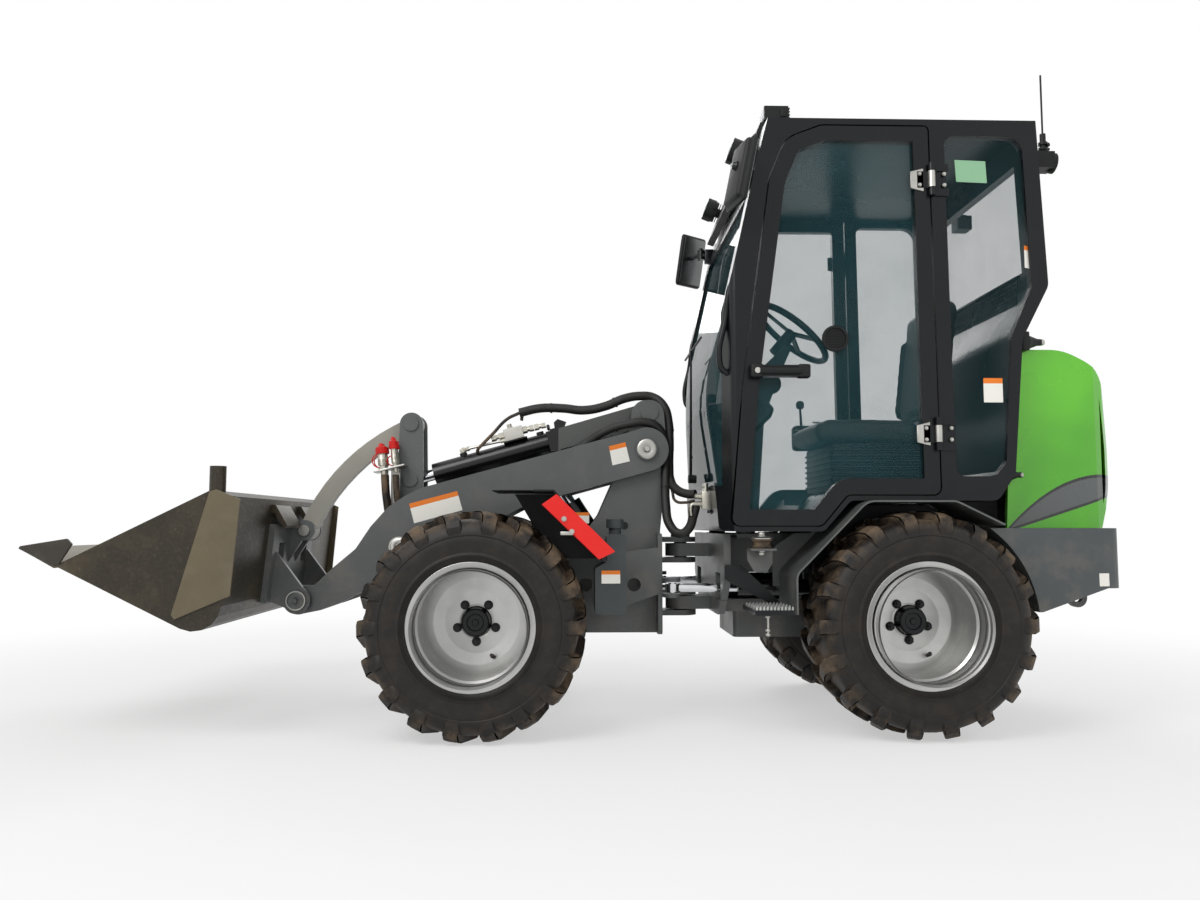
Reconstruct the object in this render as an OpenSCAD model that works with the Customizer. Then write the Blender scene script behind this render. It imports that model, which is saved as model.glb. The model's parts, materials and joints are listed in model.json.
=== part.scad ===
// Compact articulated wheel loader with a cab, a parallel linkage and a bucket.
// Millimetres. +X points forward, +Y to the left, +Z up. Every outline is measured from the
// vertical steering pivot at ground level; at_origin() then centres the machine on its length.

/* [Wheels] */
// Distance between the two axles
wheelbase = 1530; // [1500:10:1700]
// Distance between the middles of the two tyres of one axle
track_w = 960; // [940:5:1040]
// Diameter of the tyre over its lugs
tyre_d = 770; // [740:5:785]
// Width of the tyre
tyre_w = 320; // [260:5:330]
// Diameter of the rim over its flanges
rim_d = 432; // [400:2:470]
// Depth of the wheel disc behind the outer rim flange
dish_depth = 210; // [150:5:230]

/* [Frame] */
// Steering angle to either side
steer_max = 40; // [20:1:42]
// Thickness of the frame plates
plate_t = 20; // [15:1:26]
// Diameter of the vertical steering pins
steer_pin_d = 50; // [40:1:60]
// Height of the underside of the upper steering tongue
tongue_top_z = 600; // [580:5:620]
// Height of the underside of the lower steering tongue
tongue_low_z = 395; // [390:1:410]

/* [Boom] */
// Height of the boom pivot
boom_pivot_z = 1010; // [980:5:1040]
// Width over the two boom plates
boom_w = 380; // [370:2:420]
// Thickness of one boom plate
boom_t = 32; // [24:1:40]
// Diameter of the boom pivot pin
boom_pin_d = 55; // [40:1:64]
// Diameter of the linkage pins
link_pin_d = 42; // [30:1:46]

/* [Bucket] */
// Width of the bucket
bucket_w = 1300; // [1100:10:1500]
// Thickness of the bucket shell
bucket_t = 12; // [8:1:16]
// Angle at which the bucket is rolled back
bucket_curl = 26.5; // [0:0.5:32]

/* [Cylinders] */
// Outer diameter of the tilt cylinder
tilt_d = 85; // [70:1:90]
// Outer diameter of the lift cylinder
lift_d = 90; // [70:1:95]
// Outer diameter of a steering cylinder
steer_d = 60; // [45:1:62]

/* [Cab] */
// Width of the cab
cab_w = 1090; // [1050:10:1110]
// Height of the top of the side panels
cab_top_z = 2165; // [2140:5:2190]
// Thickness of the cab walls and doors
cab_wall = 35; // [25:1:45]
// Width of the black border around the panes
pane_border = 55; // [40:1:70]
// Thickness of the panes
pane_t = 6; // [4:0.5:8]

/* [Body] */
// Width of the hood
hood_w = 860; // [800:10:900]
// Width of the counterweight
weight_w = 1120; // [1000:10:1200]
// Width over the rear fenders
fender_w = 1200; // [1100:10:1280]
// Thickness of the fender sheet
fender_t = 6; // [4:0.5:8]

/* [Hidden] */
$fn = 48;
arc_steps = 5;

// Clearances
pin_gap = 0.1;
run_gap = 5;
door_gap = 5;
seat_gap = 0.3;

// Ends of the machine along X, from the steering pivot
tail_x = -1530;
axle_z = tyre_d / 2;
axle_x = wheelbase / 2;

// Joints of the linkage in the X-Z plane
boom_pivot = [147, boom_pivot_z];
tilt_base = [134, boom_pivot_z + 149];
lever_pivot = [1080, boom_pivot_z - 370];
rod_eye = [1064, boom_pivot_z - 111];
lever_top = [1064, boom_pivot_z + 108];
coupler_low = [1451, boom_pivot_z - 567];
coupler_top = [1473, boom_pivot_z - 309];
lift_base = [150, 360];
lift_radius = 370;
lift_eye = boom_pivot + lift_radius * [cos(-17.5), sin(-17.5)];
steer_base = [-640, 265];
steer_eye = [60, 265];
steer_z = 491;

// Level bucket frame: its origin is the heel, and its X axis runs along the floor
heel = coupler_low + [274, -43];
edge_reach = 553;
edge_half = 2;
tip_x = heel[0] + edge_reach * cos(bucket_curl) + edge_half * sin(bucket_curl);

// Widths across the linkage
boom_in = boom_w / 2 - boom_t;
tower_out = boom_in - 7;
lever_in = 48;
lever_out = lever_in + 15;
ear_in = 40;
ear_out = 56;

// Colours
frame_c = [0.30, 0.33, 0.36];
black_c = [0.07, 0.07, 0.08];
green_c = [0.38, 0.72, 0.0];
steel_c = [0.72, 0.73, 0.75];
glass_c = [0.25, 0.42, 0.47, 0.6];
rubber_c = [0.12, 0.11, 0.10];
bucket_c = [0.16, 0.14, 0.12];
link_c = [0.55, 0.57, 0.60];
red_c = [0.8, 0.1, 0.08];

// ---------------------------------------------------------------- outlines

function unit(v) = v / norm(v);
function flat(p) = [p[0], p[1]];
function turned(v, a) = [v[0] * cos(a) - v[1] * sin(a), v[0] * sin(a) + v[1] * cos(a)];

// The points of one corner: an arc when the corner carries a radius as its third number.
function corner(before, at, after) =
    len(at) < 3 || at[2] <= 0 ? [flat(at)] :
    let (
        u = unit(flat(before) - flat(at)),
        v = unit(flat(after) - flat(at)),
        half = acos(u * v) / 2,
        centre = flat(at) + unit(u + v) * at[2] / sin(half),
        reach = at[2] / tan(half),
        s = flat(at) + u * reach - centre,
        e = flat(at) + v * reach - centre,
        start = atan2(s[1], s[0]),
        sweep = atan2(s[0] * e[1] - s[1] * e[0], s * e)
    )
    [for (i = [0:arc_steps]) centre + at[2] * [cos(start + sweep * i / arc_steps),
                                               sin(start + sweep * i / arc_steps)]];

// A closed outline with its corners rounded.
function rounded(pts) = let (n = len(pts))
    [for (i = [0:n - 1]) each corner(pts[(i + n - 1) % n], pts[i], pts[(i + 1) % n])];

// The offset of the corner between two edges, to their right-hand side.
function mitre(before, at, after, d) =
    let (
        u = unit(flat(at) - flat(before)),
        v = unit(flat(after) - flat(at)),
        nu = [u[1], -u[0]],
        nv = [v[1], -v[0]],
        bend = u[0] * v[1] - u[1] * v[0],
        p = flat(at) + (nu + nv) * d / (1 + nu * nv)
    )
    [p[0], p[1], len(at) > 2 && at[2] > 0 ? max(at[2] + (bend > 0 ? d : -d), 1) : 0];

// A closed counter-clockwise outline grown outwards by d, or shrunk when d is negative.
function grown(pts, d) = let (n = len(pts))
    [for (i = [0:n - 1]) mitre(pts[(i + n - 1) % n], pts[i], pts[(i + 1) % n], d)];

// An open path given a wall of thickness t on its right-hand side.
function walled(path, t) =
    let (
        n = len(path),
        first = unit(flat(path[1]) - flat(path[0])),
        last = unit(flat(path[n - 1]) - flat(path[n - 2])),
        side = [
            flat(path[0]) + t * [first[1], -first[0]],
            for (i = [1:n - 2]) mitre(path[i - 1], path[i], path[i + 1], t),
            flat(path[n - 1]) + t * [last[1], -last[0]]
        ]
    )
    concat(path, [for (i = [n - 1:-1:0]) side[i]]);

// ---------------------------------------------------------------- basic forms

module at_origin() translate([-(tip_x + tail_x) / 2, 0, 0]) children();

// An outline in X-Z between two Y values
module side_plate(pts, y0, y1)
    translate([0, y1, 0]) rotate([90, 0, 0]) linear_extrude(y1 - y0) polygon(rounded(pts));

// Two-dimensional children in X-Z, extruded between two Y values
module side_form(y0, y1)
    translate([0, y1, 0]) rotate([90, 0, 0]) linear_extrude(y1 - y0) children();

// An outline in X-Y between two Z values
module plan_plate(pts, z0, z1)
    translate([0, 0, z0]) linear_extrude(z1 - z0) polygon(rounded(pts));

// An outline in Y-Z between two X values
module cross_plate(pts, x0, x1)
    translate([x0, 0, 0]) rotate([90, 0, 90]) linear_extrude(x1 - x0) polygon(rounded(pts));

module block(x0, x1, y0, y1, z0, z1)
    translate([x0, y0, z0]) cube([x1 - x0, y1 - y0, z1 - z0]);

// A round bar along Y through a point of the X-Z plane
module bar_y(at, d, y0, y1)
    translate([at[0], y1, at[1]]) rotate([90, 0, 0]) cylinder(d = d, h = y1 - y0);

module bar_z(at, d, z0, z1)
    translate([at[0], at[1], z0]) cylinder(d = d, h = z1 - z0);

module both_sides() {
    children();
    mirror([0, 1, 0]) children();
}

// Puts a child that is built along +X at p, pointing at q, in the X-Z plane
module along(p, q)
    translate([p[0], 0, p[1]]) rotate([0, -atan2(q[1] - p[1], q[0] - p[0]), 0]) children();

function rect(x0, x1, z0, z1, r = 0) = [[x0, z0, r], [x1, z0, r], [x1, z1, r], [x0, z1, r]];

// ---------------------------------------------------------------- wheels

disc_y = tyre_w / 2 - 15 - dish_depth;
rim_r = rim_d / 2;
barrel_r = rim_r - 16;
hub_face_y = track_w / 2 + disc_y - 12;
stub_d = 60;
stub_l = 60;

module tyre(x, side) color(rubber_c) at_origin()
    translate([x, side * track_w / 2, axle_z]) rotate([90, 0, 0]) rotate_extrude($fn = 72)
        polygon(rounded([
            [barrel_r + seat_gap, -tyre_w / 2 + 36], [rim_r + 4, -tyre_w / 2 + 20, 12],
            [rim_r + 70, -tyre_w / 2, 60], [tyre_d / 2 - 36, -tyre_w / 2 + 2, 40],
            [tyre_d / 2, -tyre_w / 2 + 34, 26],
            [tyre_d / 2, tyre_w / 2 - 34, 26], [tyre_d / 2 - 36, tyre_w / 2 - 2, 40],
            [rim_r + 70, tyre_w / 2, 60], [rim_r + 4, tyre_w / 2 - 20, 12],
            [barrel_r + seat_gap, tyre_w / 2 - 36]
        ]));

// A deep-dish rim turned from one profile, with the stub that runs in the axle
module rim(x, side) color(steel_c) at_origin()
    translate([x, side * track_w / 2, axle_z]) rotate([side > 0 ? -90 : 90, 0, 0]) difference() {
        union() {
            rotate_extrude($fn = 72) polygon(rounded([
                [0, disc_y - 12], [110, disc_y - 12], [150, disc_y - 4, 30],
                [barrel_r - 8, disc_y - 4], [barrel_r - 8, -tyre_w / 2 + 14, 8],
                [rim_r, -tyre_w / 2 + 14, 3], [rim_r, -tyre_w / 2 + 18, 2],
                [barrel_r, -tyre_w / 2 + 26, 8], [barrel_r, tyre_w / 2 - 26, 8],
                [rim_r, tyre_w / 2 - 18, 2], [rim_r, tyre_w / 2 - 14, 3],
                [barrel_r - 8, tyre_w / 2 - 14, 8], [barrel_r - 8, disc_y + 8],
                [150, disc_y + 8, 30], [110, disc_y, 20], [60, disc_y], [47, disc_y + 4],
                [47, disc_y + 44, 8], [0, disc_y + 44]
            ]));
            translate([0, 0, disc_y - 12 - stub_l]) cylinder(d = stub_d, h = stub_l + 1);
        }
        for (i = [0:4]) rotate(i * 72 + 18) translate([70, 0, disc_y - 30])
            cylinder(d = 17, h = 60);
    }

// An axle beam turned along Y, with its spring pads and the bores for the two stubs
module axle(x, pad_y0, pad_y1, pad_z) color(frame_c) at_origin() translate([x, 0, 0])
    difference() {
        union() {
            translate([0, 0, axle_z]) rotate([-90, 0, 0]) {
                rotate_extrude() polygon(rounded([
                    [0, -330], [52, -330], [52, -170, 30], [118, -70, 40], [118, 70, 40],
                    [52, 170, 30], [52, 330], [0, 330]
                ]));
                for (s = [-1, 1]) translate([0, 0, s > 0 ? 0 : 0]) mirror([0, 0, s > 0 ? 0 : 1])
                    translate([0, 0, 328]) rotate_extrude() polygon(rounded([
                        [0, 0], [95, 0], [95, 16], [78, 20], [78, hub_face_y - 338, 12],
                        [60, hub_face_y - 331], [0, hub_face_y - 331]
                    ]));
            }
            both_sides() block(-80, 80, pad_y0, pad_y1, axle_z, pad_z);
        }
        both_sides() translate([0, hub_face_y - stub_l - 6, axle_z]) rotate([-90, 0, 0])
            cylinder(d = stub_d + 2 * pin_gap, h = stub_l + 20);
    }

frame_seat_z = 470;
module front_axle() axle(axle_x, 200, 300, frame_seat_z);
module rear_axle() axle(-axle_x, 195, 300, frame_seat_z);

// ---------------------------------------------------------------- rear frame

tongue_t = 50;
tongue_w = 120;
rear_face = -110;
rear_side_out = 225;
frame_top = 690;

// One tongue of the rear frame with the bore for a steering pin
module tongue(z) difference() {
    union() {
        block(rear_face - 1, 0, -tongue_w / 2, tongue_w / 2, z, z + tongue_t);
        bar_z([0, 0], tongue_w, z, z + tongue_t);
    }
    bar_z([0, 0], steer_pin_d + 2 * pin_gap, z - 1, z + tongue_t + 1);
}

// Room for the steering cylinder and for the ears it pushes on
module steering_window() block(-440, rear_face + 5, rear_side_out - plate_t - 5, 318, 446, 546);

module rear_chassis() color(frame_c) at_origin() {
    both_sides() {
        difference() {
            side_plate([
                [rear_face, 400], [rear_face, frame_top], [-1132, frame_top], [-1132, 500, 30],
                [-1040, frame_seat_z, 20], [-600, frame_seat_z], [-480, 400, 20]
            ], rear_side_out - plate_t, rear_side_out);
            steering_window();
        }
        // Ears for the base of the steering cylinder
        for (z = [steer_z - 36, steer_z + 22]) difference() {
            plan_plate([
                [steer_base[0] - 34, rear_side_out - 1], [steer_base[0] + 34, rear_side_out - 1],
                [steer_base[0] + 30, steer_base[1] + 26, 26],
                [steer_base[0] - 30, steer_base[1] + 26, 26]
            ], z, z + 14);
            bar_z(steer_base, 30 + 2 * pin_gap, z - 1, z + 15);
        }
    }
    // Front bulkhead, with a window for each steering rod
    difference() {
        cross_plate([
            [-400, 520, 30], [-250, 390, 30], [250, 390, 30], [400, 520, 30],
            [400, frame_top], [-400, frame_top]
        ], rear_face - 25, rear_face);
        both_sides() steering_window();
    }
    tongue(tongue_top_z);
    tongue(tongue_low_z);
    // Floor and cross members
    block(-600, rear_face, -rear_side_out + plate_t, rear_side_out - plate_t, 400, 412);
    for (x = [-330, -620, -1100])
        block(x - 15, x + 15, -rear_side_out + plate_t, rear_side_out - plate_t, 600, frame_top);
    // Outriggers with the four cab mounts
    both_sides() {
        block(-240, -160, rear_side_out - 1, 400, frame_top - 14, frame_top);
        bar_z([-200, 340], 70, frame_top - 1, cab_floor_z);
        block(-940, -860, rear_side_out - 1, 295, frame_top - 14, frame_top);
        bar_z([-900, 255], 70, frame_top - 1, arch_top_z);
    }
    // Box hung under the frame
    plan_plate(rect(-560, -180, -180, 180, 20), 300, 401);
}

module engine() color([0.2, 0.2, 0.2]) at_origin()
    block(-1420, -1200, -190, 190, weight_top + seat_gap, 1180);

weight_top = 711;
tow_z = 505;
tow_bore = 26;
tie_down = [-1380, 462];
tie_bore = 32;
hood_hinge = [-1496, weight_top + 13];
hood_ear_y = [200, -200];
module counterweight() color(frame_c) at_origin() {
    // Lugs and pins of the hood hinge
    for (y = hood_ear_y) {
        side_form(y - 20, y - 8) union() {
            translate(hood_hinge) circle(r = 10);
            translate(hood_hinge + [-8, -14]) square([18, 14]);
        }
        bar_y(hood_hinge, 10, y - 20, y + 10);
    }
    difference() {
        intersection() {
            side_plate([
                [-1500, weight_top, 12], [-1500, 560, 60], [-1482, tow_z, 15], [-1410, tow_z],
                [-1180, 424, 10], [-1000, 424], [-1000, weight_top]
            ], -weight_w / 2, weight_w / 2);
            plan_plate([
                [-1500, -200, 400], [-1500, 200, 400], [-1460, weight_w / 2, 40],
                [-1000, weight_w / 2], [-1000, rear_side_out + 1], [-1132, rear_side_out + 1],
                [-1132, -rear_side_out - 1], [-1000, -rear_side_out - 1], [-1000, -weight_w / 2],
                [-1460, -weight_w / 2, 40]
            ], 400, weight_top + 20);
        }
        // Arches for the rear tyres
        both_sides() bar_y([-axle_x, axle_z], tyre_d + 40, rear_side_out, weight_w, $fn = 200);
        // Tow slot and its pin bore
        block(-1510, -1420, -60, 60, 560, 610);
        bar_z([-1455, 0], tow_bore, 480, weight_top - 40);
    }
    // Tie-down eyes
    both_sides() side_form(395, 415) difference() {
        union() {
            translate(tie_down) circle(r = 34);
            translate(tie_down + [-34, 0]) square([68, 60]);
        }
        translate(tie_down) circle(d = tie_bore);
    }
}

fender_in = 326;
module rear_fenders() color(frame_c) at_origin() both_sides() {
    side_plate(walled([
        [-1040, 720], [-876, 800, 60], [-573, 800, 60], [-329, 554, 40], [-329, 422]
    ], -fender_t), fender_in + 4, fender_w / 2);
    // Inner sheet below the cab
    side_plate([
        [-1040, 720], [-876, 800, 60], [-573, 800, 60], [-329, 554, 40], [-329, 500],
        [-300, 500], [-300, 640, 40], [-380, 692], [-440, 692], [-542, 799], [-573, 803, 20],
        [-880, 803, 20], [-1040, 735]
    ], fender_in, fender_in + 5);
}

step_x0 = -307;
step_x1 = -175;
module steps() color(black_c) at_origin() both_sides() {
    block(step_x0, step_x1, 410, 640, 424, 440);
    side_plate([
        [step_x0, 424], [rear_face - 1, 530], [rear_face - 1, 580], [rear_face - 60, 580],
        [step_x0, 450]
    ], 400, 412);
}

// ---------------------------------------------------------------- cab

cab_y = cab_w / 2;
cab_floor_z = 700;
arch_top_z = 806;
cab_outline = [
    [-88, cab_floor_z, 20], [-80, 826], [-45, 1250, 900], [-205, 1950, 300],
    [-260, cab_top_z], [-1224, cab_top_z], [-1249, 1564, 60], [-1150, 1375, 80],
    [-1109, 899, 40], [-1046, arch_top_z, 40], [-530, arch_top_z, 30], [-435, cab_floor_z, 30]
];
cab_plan = [
    [-45, -280, 120], [-45, 280, 120], [-78, 420, 150], [-125, cab_y, 25],
    [-1300, cab_y], [-1300, -cab_y], [-125, -cab_y, 25], [-78, -420, 150]
];
door_outline = [
    [-118, 720, 25], [-160, 1200, 600], [-264, 1943, 150], [-325, 2090, 90],
    [-450, cab_top_z - 27, 60], [-832, cab_top_z - 27, 15], [-844, 827, 25], [-518, 827, 30], [-428, 720, 30]
];
quarter_outline = [
    [-890, cab_top_z - 60, 30], [-1170, cab_top_z - 60, 60], [-1190, 1560, 60], [-1110, 1380, 60],
    [-1078, 940, 30], [-1040, 890, 30], [-900, 890, 30]
];

hinge_x = -838;
hinge_y = cab_y + 12;
hinge_z = [1037, 1942];

// The solid form of the cab, grown or shrunk by d
module cab_form(d, top = 0) intersection() {
    side_plate(grown(cab_outline, d), -cab_y - d - 1, cab_y + d + 1);
    plan_plate(grown(cab_plan, d), 600, cab_top_z + 100);
}

module windscreen_zone(d) {
    block(-300, 0, -470 + d, 470 - d, 860 + d, 1900 - d);
}
module rear_window_zone(d) block(-1300, -1150, -430 + d, 430 - d, 1640 + d, 2040 - d);

module cab_shell() color(black_c) at_origin() {
    difference() {
        cab_form(0);
        cab_form(-cab_wall);
        both_sides() {
            side_plate(grown(door_outline, door_gap), cab_y - cab_wall - 20, cab_y + 10);
            side_plate(quarter_outline, cab_y - cab_wall - 20, cab_y + 10);
        }
        windscreen_zone(0);
        rear_window_zone(0);
    }
    // Hinge leaves with their pins
    both_sides() for (z = hinge_z) {
        bar_z([hinge_x, hinge_y], 12, z - 58, z + 58);
        for (end = [z - 58, z + 32]) {
            bar_z([hinge_x, hinge_y], 22, end, end + 26);
            block(-900, -846, cab_y - 1, cab_y + 6, end, end + 26);
        }
    }
}

module cab_glass() color(glass_c) at_origin() {
    intersection() {
        windscreen_zone(seat_gap);
        difference() {
            cab_form(-10);
            cab_form(-10 - pane_t);
        }
    }
    intersection() {
        rear_window_zone(seat_gap);
        difference() {
            cab_form(-10);
            cab_form(-10 - pane_t);
        }
    }
    both_sides() side_plate(grown(quarter_outline, -seat_gap), cab_y - 12 - pane_t, cab_y - 12);
}

module cab_roof() color(black_c) at_origin() {
    side_plate([
        [-257, cab_top_z], [-203, 1975], visor_low, visor_high, [-900, visor_high[1] - 15],
        [-1236, cab_top_z + 20], [-1236, cab_top_z]
    ], -390, 390);
    // Shoulders, cut back above the doors
    both_sides() side_plate([
        [-330, cab_top_z], [-330, cab_top_z + 14], [-1218, cab_top_z + 10], [-1218, cab_top_z]
    ], 389, 495);
}

// The door panel: a frame around one pane
module door_frame() side_form(cab_y - cab_wall, cab_y) difference() {
    polygon(rounded(door_outline));
    polygon(rounded(grown(door_outline, -pane_border)));
}

module door_left() color(black_c) at_origin() {
    door_frame();
    side_plate(rect(-385, -188, 1232, 1272, 12), cab_y, cab_y + 34);
    // Hinge knuckles
    for (z = hinge_z) difference() {
        union() {
            bar_z([hinge_x, hinge_y], 22, z - 30, z + 30);
            block(hinge_x, hinge_x + 50, cab_y - 1, cab_y + 6, z - 30, z + 30);
        }
        bar_z([hinge_x, hinge_y], 12 + 2 * pin_gap, z - 40, z + 40);
    }
}
module door_right() mirror([0, 1, 0]) door_left();

module door_pane() at_origin()
    side_plate(grown(door_outline, -pane_border - seat_gap), cab_y - 20, cab_y - 20 + pane_t);
module door_left_glass() color(glass_c) door_pane();
module door_right_glass() color(glass_c) mirror([0, 1, 0]) door_pane();

module seat() color(black_c) at_origin() {
    block(-960, -560, -230, 230, arch_top_z + cab_wall, 1030);
    side_plate([
        [-960, 1030], [-480, 1030, 20], [-470, 1130, 40], [-900, 1110, 20], [-960, 1300, 200],
        [-1010, 1700, 40], [-1080, 1690, 30], [-1060, 1200, 60]
    ], -230, 230);
}

module steering_console() color(black_c) at_origin() {
    side_plate([
        [-150, cab_floor_z + cab_wall], [-150, 900], [-330, 1350], [-420, 1440],
        [-440, 1420], [-400, 1330], [-330, 1150], [-300, cab_floor_z + cab_wall]
    ], -70, 70);
    translate([-460, 0, 1500]) rotate([0, -40, 0]) {
        rotate_extrude($fn = 60) translate([170, 0]) circle(d = 26, $fn = 20);
        for (a = [0, 120, 240]) rotate(a) translate([0, -12, -5]) cube([165, 24, 8]);
        translate([0, 0, -110]) cylinder(d = 50, h = 115);
    }
}

module mirrors() color(black_c) at_origin() both_sides() {
    side_plate(rect(-205, -171, 1810, 2060, 15), 565, 725);
    bar_y([-188, 1960], 20, 495, 570);
    block(-203.6, -180, 485, 505, 1945, 1975);
}

visor_low = [-175, 1985];
visor_high = [-265, cab_top_z + 50];
visor_dir = unit(visor_high - visor_low);
module work_lights() color(black_c) at_origin() {
    both_sides() lamps();
    // Aerial
    bar_z([-1338, 370], 22, 2123, 2190);
    bar_z([-1338, 370], 7, 2189, 2420);
}
module lamps() {
    // Flood lamp on a short stem on the roof
    bar_z([-352, 355], 24, visor_high[1] - 1.5, visor_high[1] + 10);
    block(-370, -280, 315, 395, visor_high[1] + 9, visor_high[1] + 62);
    // Round headlamp on the slope of the visor
    lamp = visor_low + visor_dir * 130 + seat_gap * [visor_dir[1], -visor_dir[0]];
    translate([lamp[0], 330, lamp[1]])
        rotate([0, 90 - atan2(-visor_dir[0], visor_dir[1]), 0]) {
            cylinder(d = 40, h = 20);
            translate([0, 0, 18]) cylinder(d = 90, h = 45);
        }
    // Rear lamp on a bracket behind the cab
    block(-1350, -1226.8, 360, 380, 2110, 2124);
    block(-1365, -1300, 335, 405, 2050, 2112);
}

module hood() color(green_c) at_origin() {
    hood_skin();
    for (y = hood_ear_y) difference() {
        side_form(y - 7, y + 7) union() {
            translate(hood_hinge) circle(r = 11);
            translate(hood_hinge) square([22, 11]);
        }
        bar_y(hood_hinge, 10 + 2 * pin_gap, y - 20, y + 20);
    }
}
hood_foot_z = weight_top + seat_gap;
module hood_skin() difference() {
    intersection() {
        side_plate([
            [-1125, hood_foot_z], [-1135, 899], [-1178, 1335, 40], [-1220, 1357, 40],
            [-1350, 1357, 200], [-1500, 1280, 120], [-1530, 1000, 300], [-1530, 860, 200],
            [-1480, hood_foot_z]
        ], -hood_w / 2, hood_w / 2);
        plan_plate([
            [-1100, -hood_w / 2], [-1560, -hood_w / 2, 140], [-1560, hood_w / 2, 140],
            [-1100, hood_w / 2]
        ], 700, 1400);
    }
    side_plate([
        [-1080, weight_top], [-1080, 1330], [-1350, 1337, 200],
        [-1480, 1270, 120], [-1510, 1000, 300], [-1510, 860, 200], [-1460, weight_top]
    ], -hood_w / 2 + 20, hood_w / 2 - 20);
}

// ---------------------------------------------------------------- front frame

front_face = 94;
front_side_out = 235;
module fork(z) {
    block(0, front_face + 1, -tongue_w / 2, tongue_w / 2, z, z + plate_t);
    bar_z([0, 0], tongue_w, z, z + plate_t);
}

module front_chassis() color(frame_c) at_origin() {
    // Tower plates that carry the boom and both cylinders
    both_sides() side_plate([
        [front_face, 315], [600, 315, 40], [600, 440, 60], [330, 760, 80], [225, 1000, 80],
        [195, 1200, 55], [82, 1210, 55], [64, 1000, 60], [front_face, 700]
    ], tower_out - plate_t, tower_out);
    // Rear bulkhead
    cross_plate(rect(-front_side_out, front_side_out, 315, 690, 20),
        front_face, front_face + plate_t - 4);
    // Outer side plates down to the axle
    both_sides() difference() {
        side_plate([
            [front_face, 640], [front_face, 470], [300, 397, 30], [600, 397, 30],
            [660, frame_seat_z, 30], [860, frame_seat_z], [860, 520, 30], [420, 600, 40]
        ], front_side_out - plate_t, front_side_out);
        for (x = [200, 290, 380]) bar_y([x, 500], 50, 200, 300);
    }
    // Belly plate joining them
    block(230, 600, -tower_out, tower_out, 315, 335);
    block(280, 600, -front_side_out, front_side_out, 397, 412);
    // Steering forks with their pins
    for (z = [tongue_top_z, tongue_low_z]) {
        fork(z - run_gap - plate_t);
        fork(z + tongue_t + run_gap);
        bar_z([0, 0], steer_pin_d, z - run_gap - plate_t, z + tongue_t + run_gap + plate_t + 12);
        bar_z([0, 0], 76, z + tongue_t + run_gap + plate_t, z + tongue_t + run_gap + plate_t + 10);
    }
    // Boom pivot pins with their caps
    both_sides() {
        bar_y(boom_pivot, boom_pin_d, tower_out - 1, boom_w / 2 + 12);
        bar_y(boom_pivot, boom_pin_d + 30, boom_w / 2 + 1, boom_w / 2 + 12);
        bar_y(boom_pivot, boom_pin_d + 40, tower_out, boom_in - 1);
        bar_y(tilt_base, 70, tower_out, tower_out + 6);
    }
    // Cross pins of the two cylinders
    bar_y(tilt_base, link_pin_d, -tower_out, tower_out);
    bar_y(lift_base, link_pin_d, -tower_out, tower_out);
    // Ears for the eye of each steering rod
    both_sides() for (z = [steer_z - 36, steer_z + 22]) difference() {
        plan_plate([
            [front_face + 1, front_side_out - 30], [front_face + 1, front_side_out],
            [front_face - 6, steer_eye[1] + 26, 26], [steer_eye[0] - 30, steer_eye[1] + 26, 26],
            [steer_eye[0] - 30, steer_eye[1] - 20, 20]
        ], z, z + 14);
    }
}

module front_fenders() color(black_c) at_origin() both_sides() {
    side_plate(walled([[560, 834], [494, 834], [330, 640, 30], [330, 600]], fender_t), 330, 620);
    block(318, 326, front_side_out, 620, 600, 612);
}

module fuel_tank() color(black_c) at_origin() {
    side_plate([
        [245, 416, 14], [352, 416, 14], [352, 574, 14], [312, 596, 10], [312, 690, 14],
        [245, 690, 14]
    ], 330, 520);
    // Filler neck with its cap
    bar_z([280, 430], 44, 689, 712);
    bar_z([280, 430], 62, 711, 742);
    block(245, 300, front_side_out, 331, 470, 500);
}

// ---------------------------------------------------------------- boom and linkage

pin_head_y = boom_w / 2 + 12;

module boom_plate() difference() {
    union() {
        polygon(rounded([
            boom_pivot + [0, 84], [905, boom_pivot_z - 122, 60], [1001, boom_pivot_z - 148, 60],
            [1060, boom_pivot_z - 177, 60], [1124, boom_pivot_z - 220, 60],
            [1189, boom_pivot_z - 294, 60], [1244, boom_pivot_z - 378, 40],
            [1329, boom_pivot_z - 450, 40], [1395, boom_pivot_z - 514],
            coupler_low + [0, 54], coupler_low + [0, -54],
            [1368, boom_pivot_z - 605, 60], [1302, boom_pivot_z - 582, 60],
            [606, boom_pivot_z - 213, 200], boom_pivot + [-10, -84]
        ]));
        translate(boom_pivot) circle(r = 84);
        translate(coupler_low) circle(r = 54);
    }
    translate(boom_pivot) circle(d = boom_pin_d + 2 * pin_gap);
    translate(lever_pivot) circle(d = link_pin_d + 8 + 2 * pin_gap);
    translate(coupler_low) circle(d = link_pin_d + 8 + 2 * pin_gap);
}

cross_tube = [649, boom_pivot_z - 170];
module boom() color(frame_c) at_origin() {
    both_sides() side_form(boom_in, boom_w / 2) boom_plate();
    bar_y(cross_tube, 90, -boom_in - 1, boom_in + 1);
    bar_y([880, boom_pivot_z - 280], 80, -boom_in - 1, boom_in + 1);
    // Lugs for the eye of the lift cylinder, with their caps
    both_sides() {
        side_form(52, 68) union() {
            polygon([
                cross_tube + [-10, 42], lift_eye + [10, 44], lift_eye + [-10, -44],
                cross_tube + [-20, -42]
            ]);
            translate(lift_eye) circle(r = 45);
        }
        bar_y(lift_eye, 56, 68, 76);
    }
}

module head_pin(at, d) {
    bar_y(at, d, -pin_head_y, pin_head_y);
    both_sides() bar_y(at, d + 26, boom_w / 2 + 1, pin_head_y);
}
module lever_pin() color(steel_c) at_origin() head_pin(lever_pivot, link_pin_d + 8);

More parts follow.
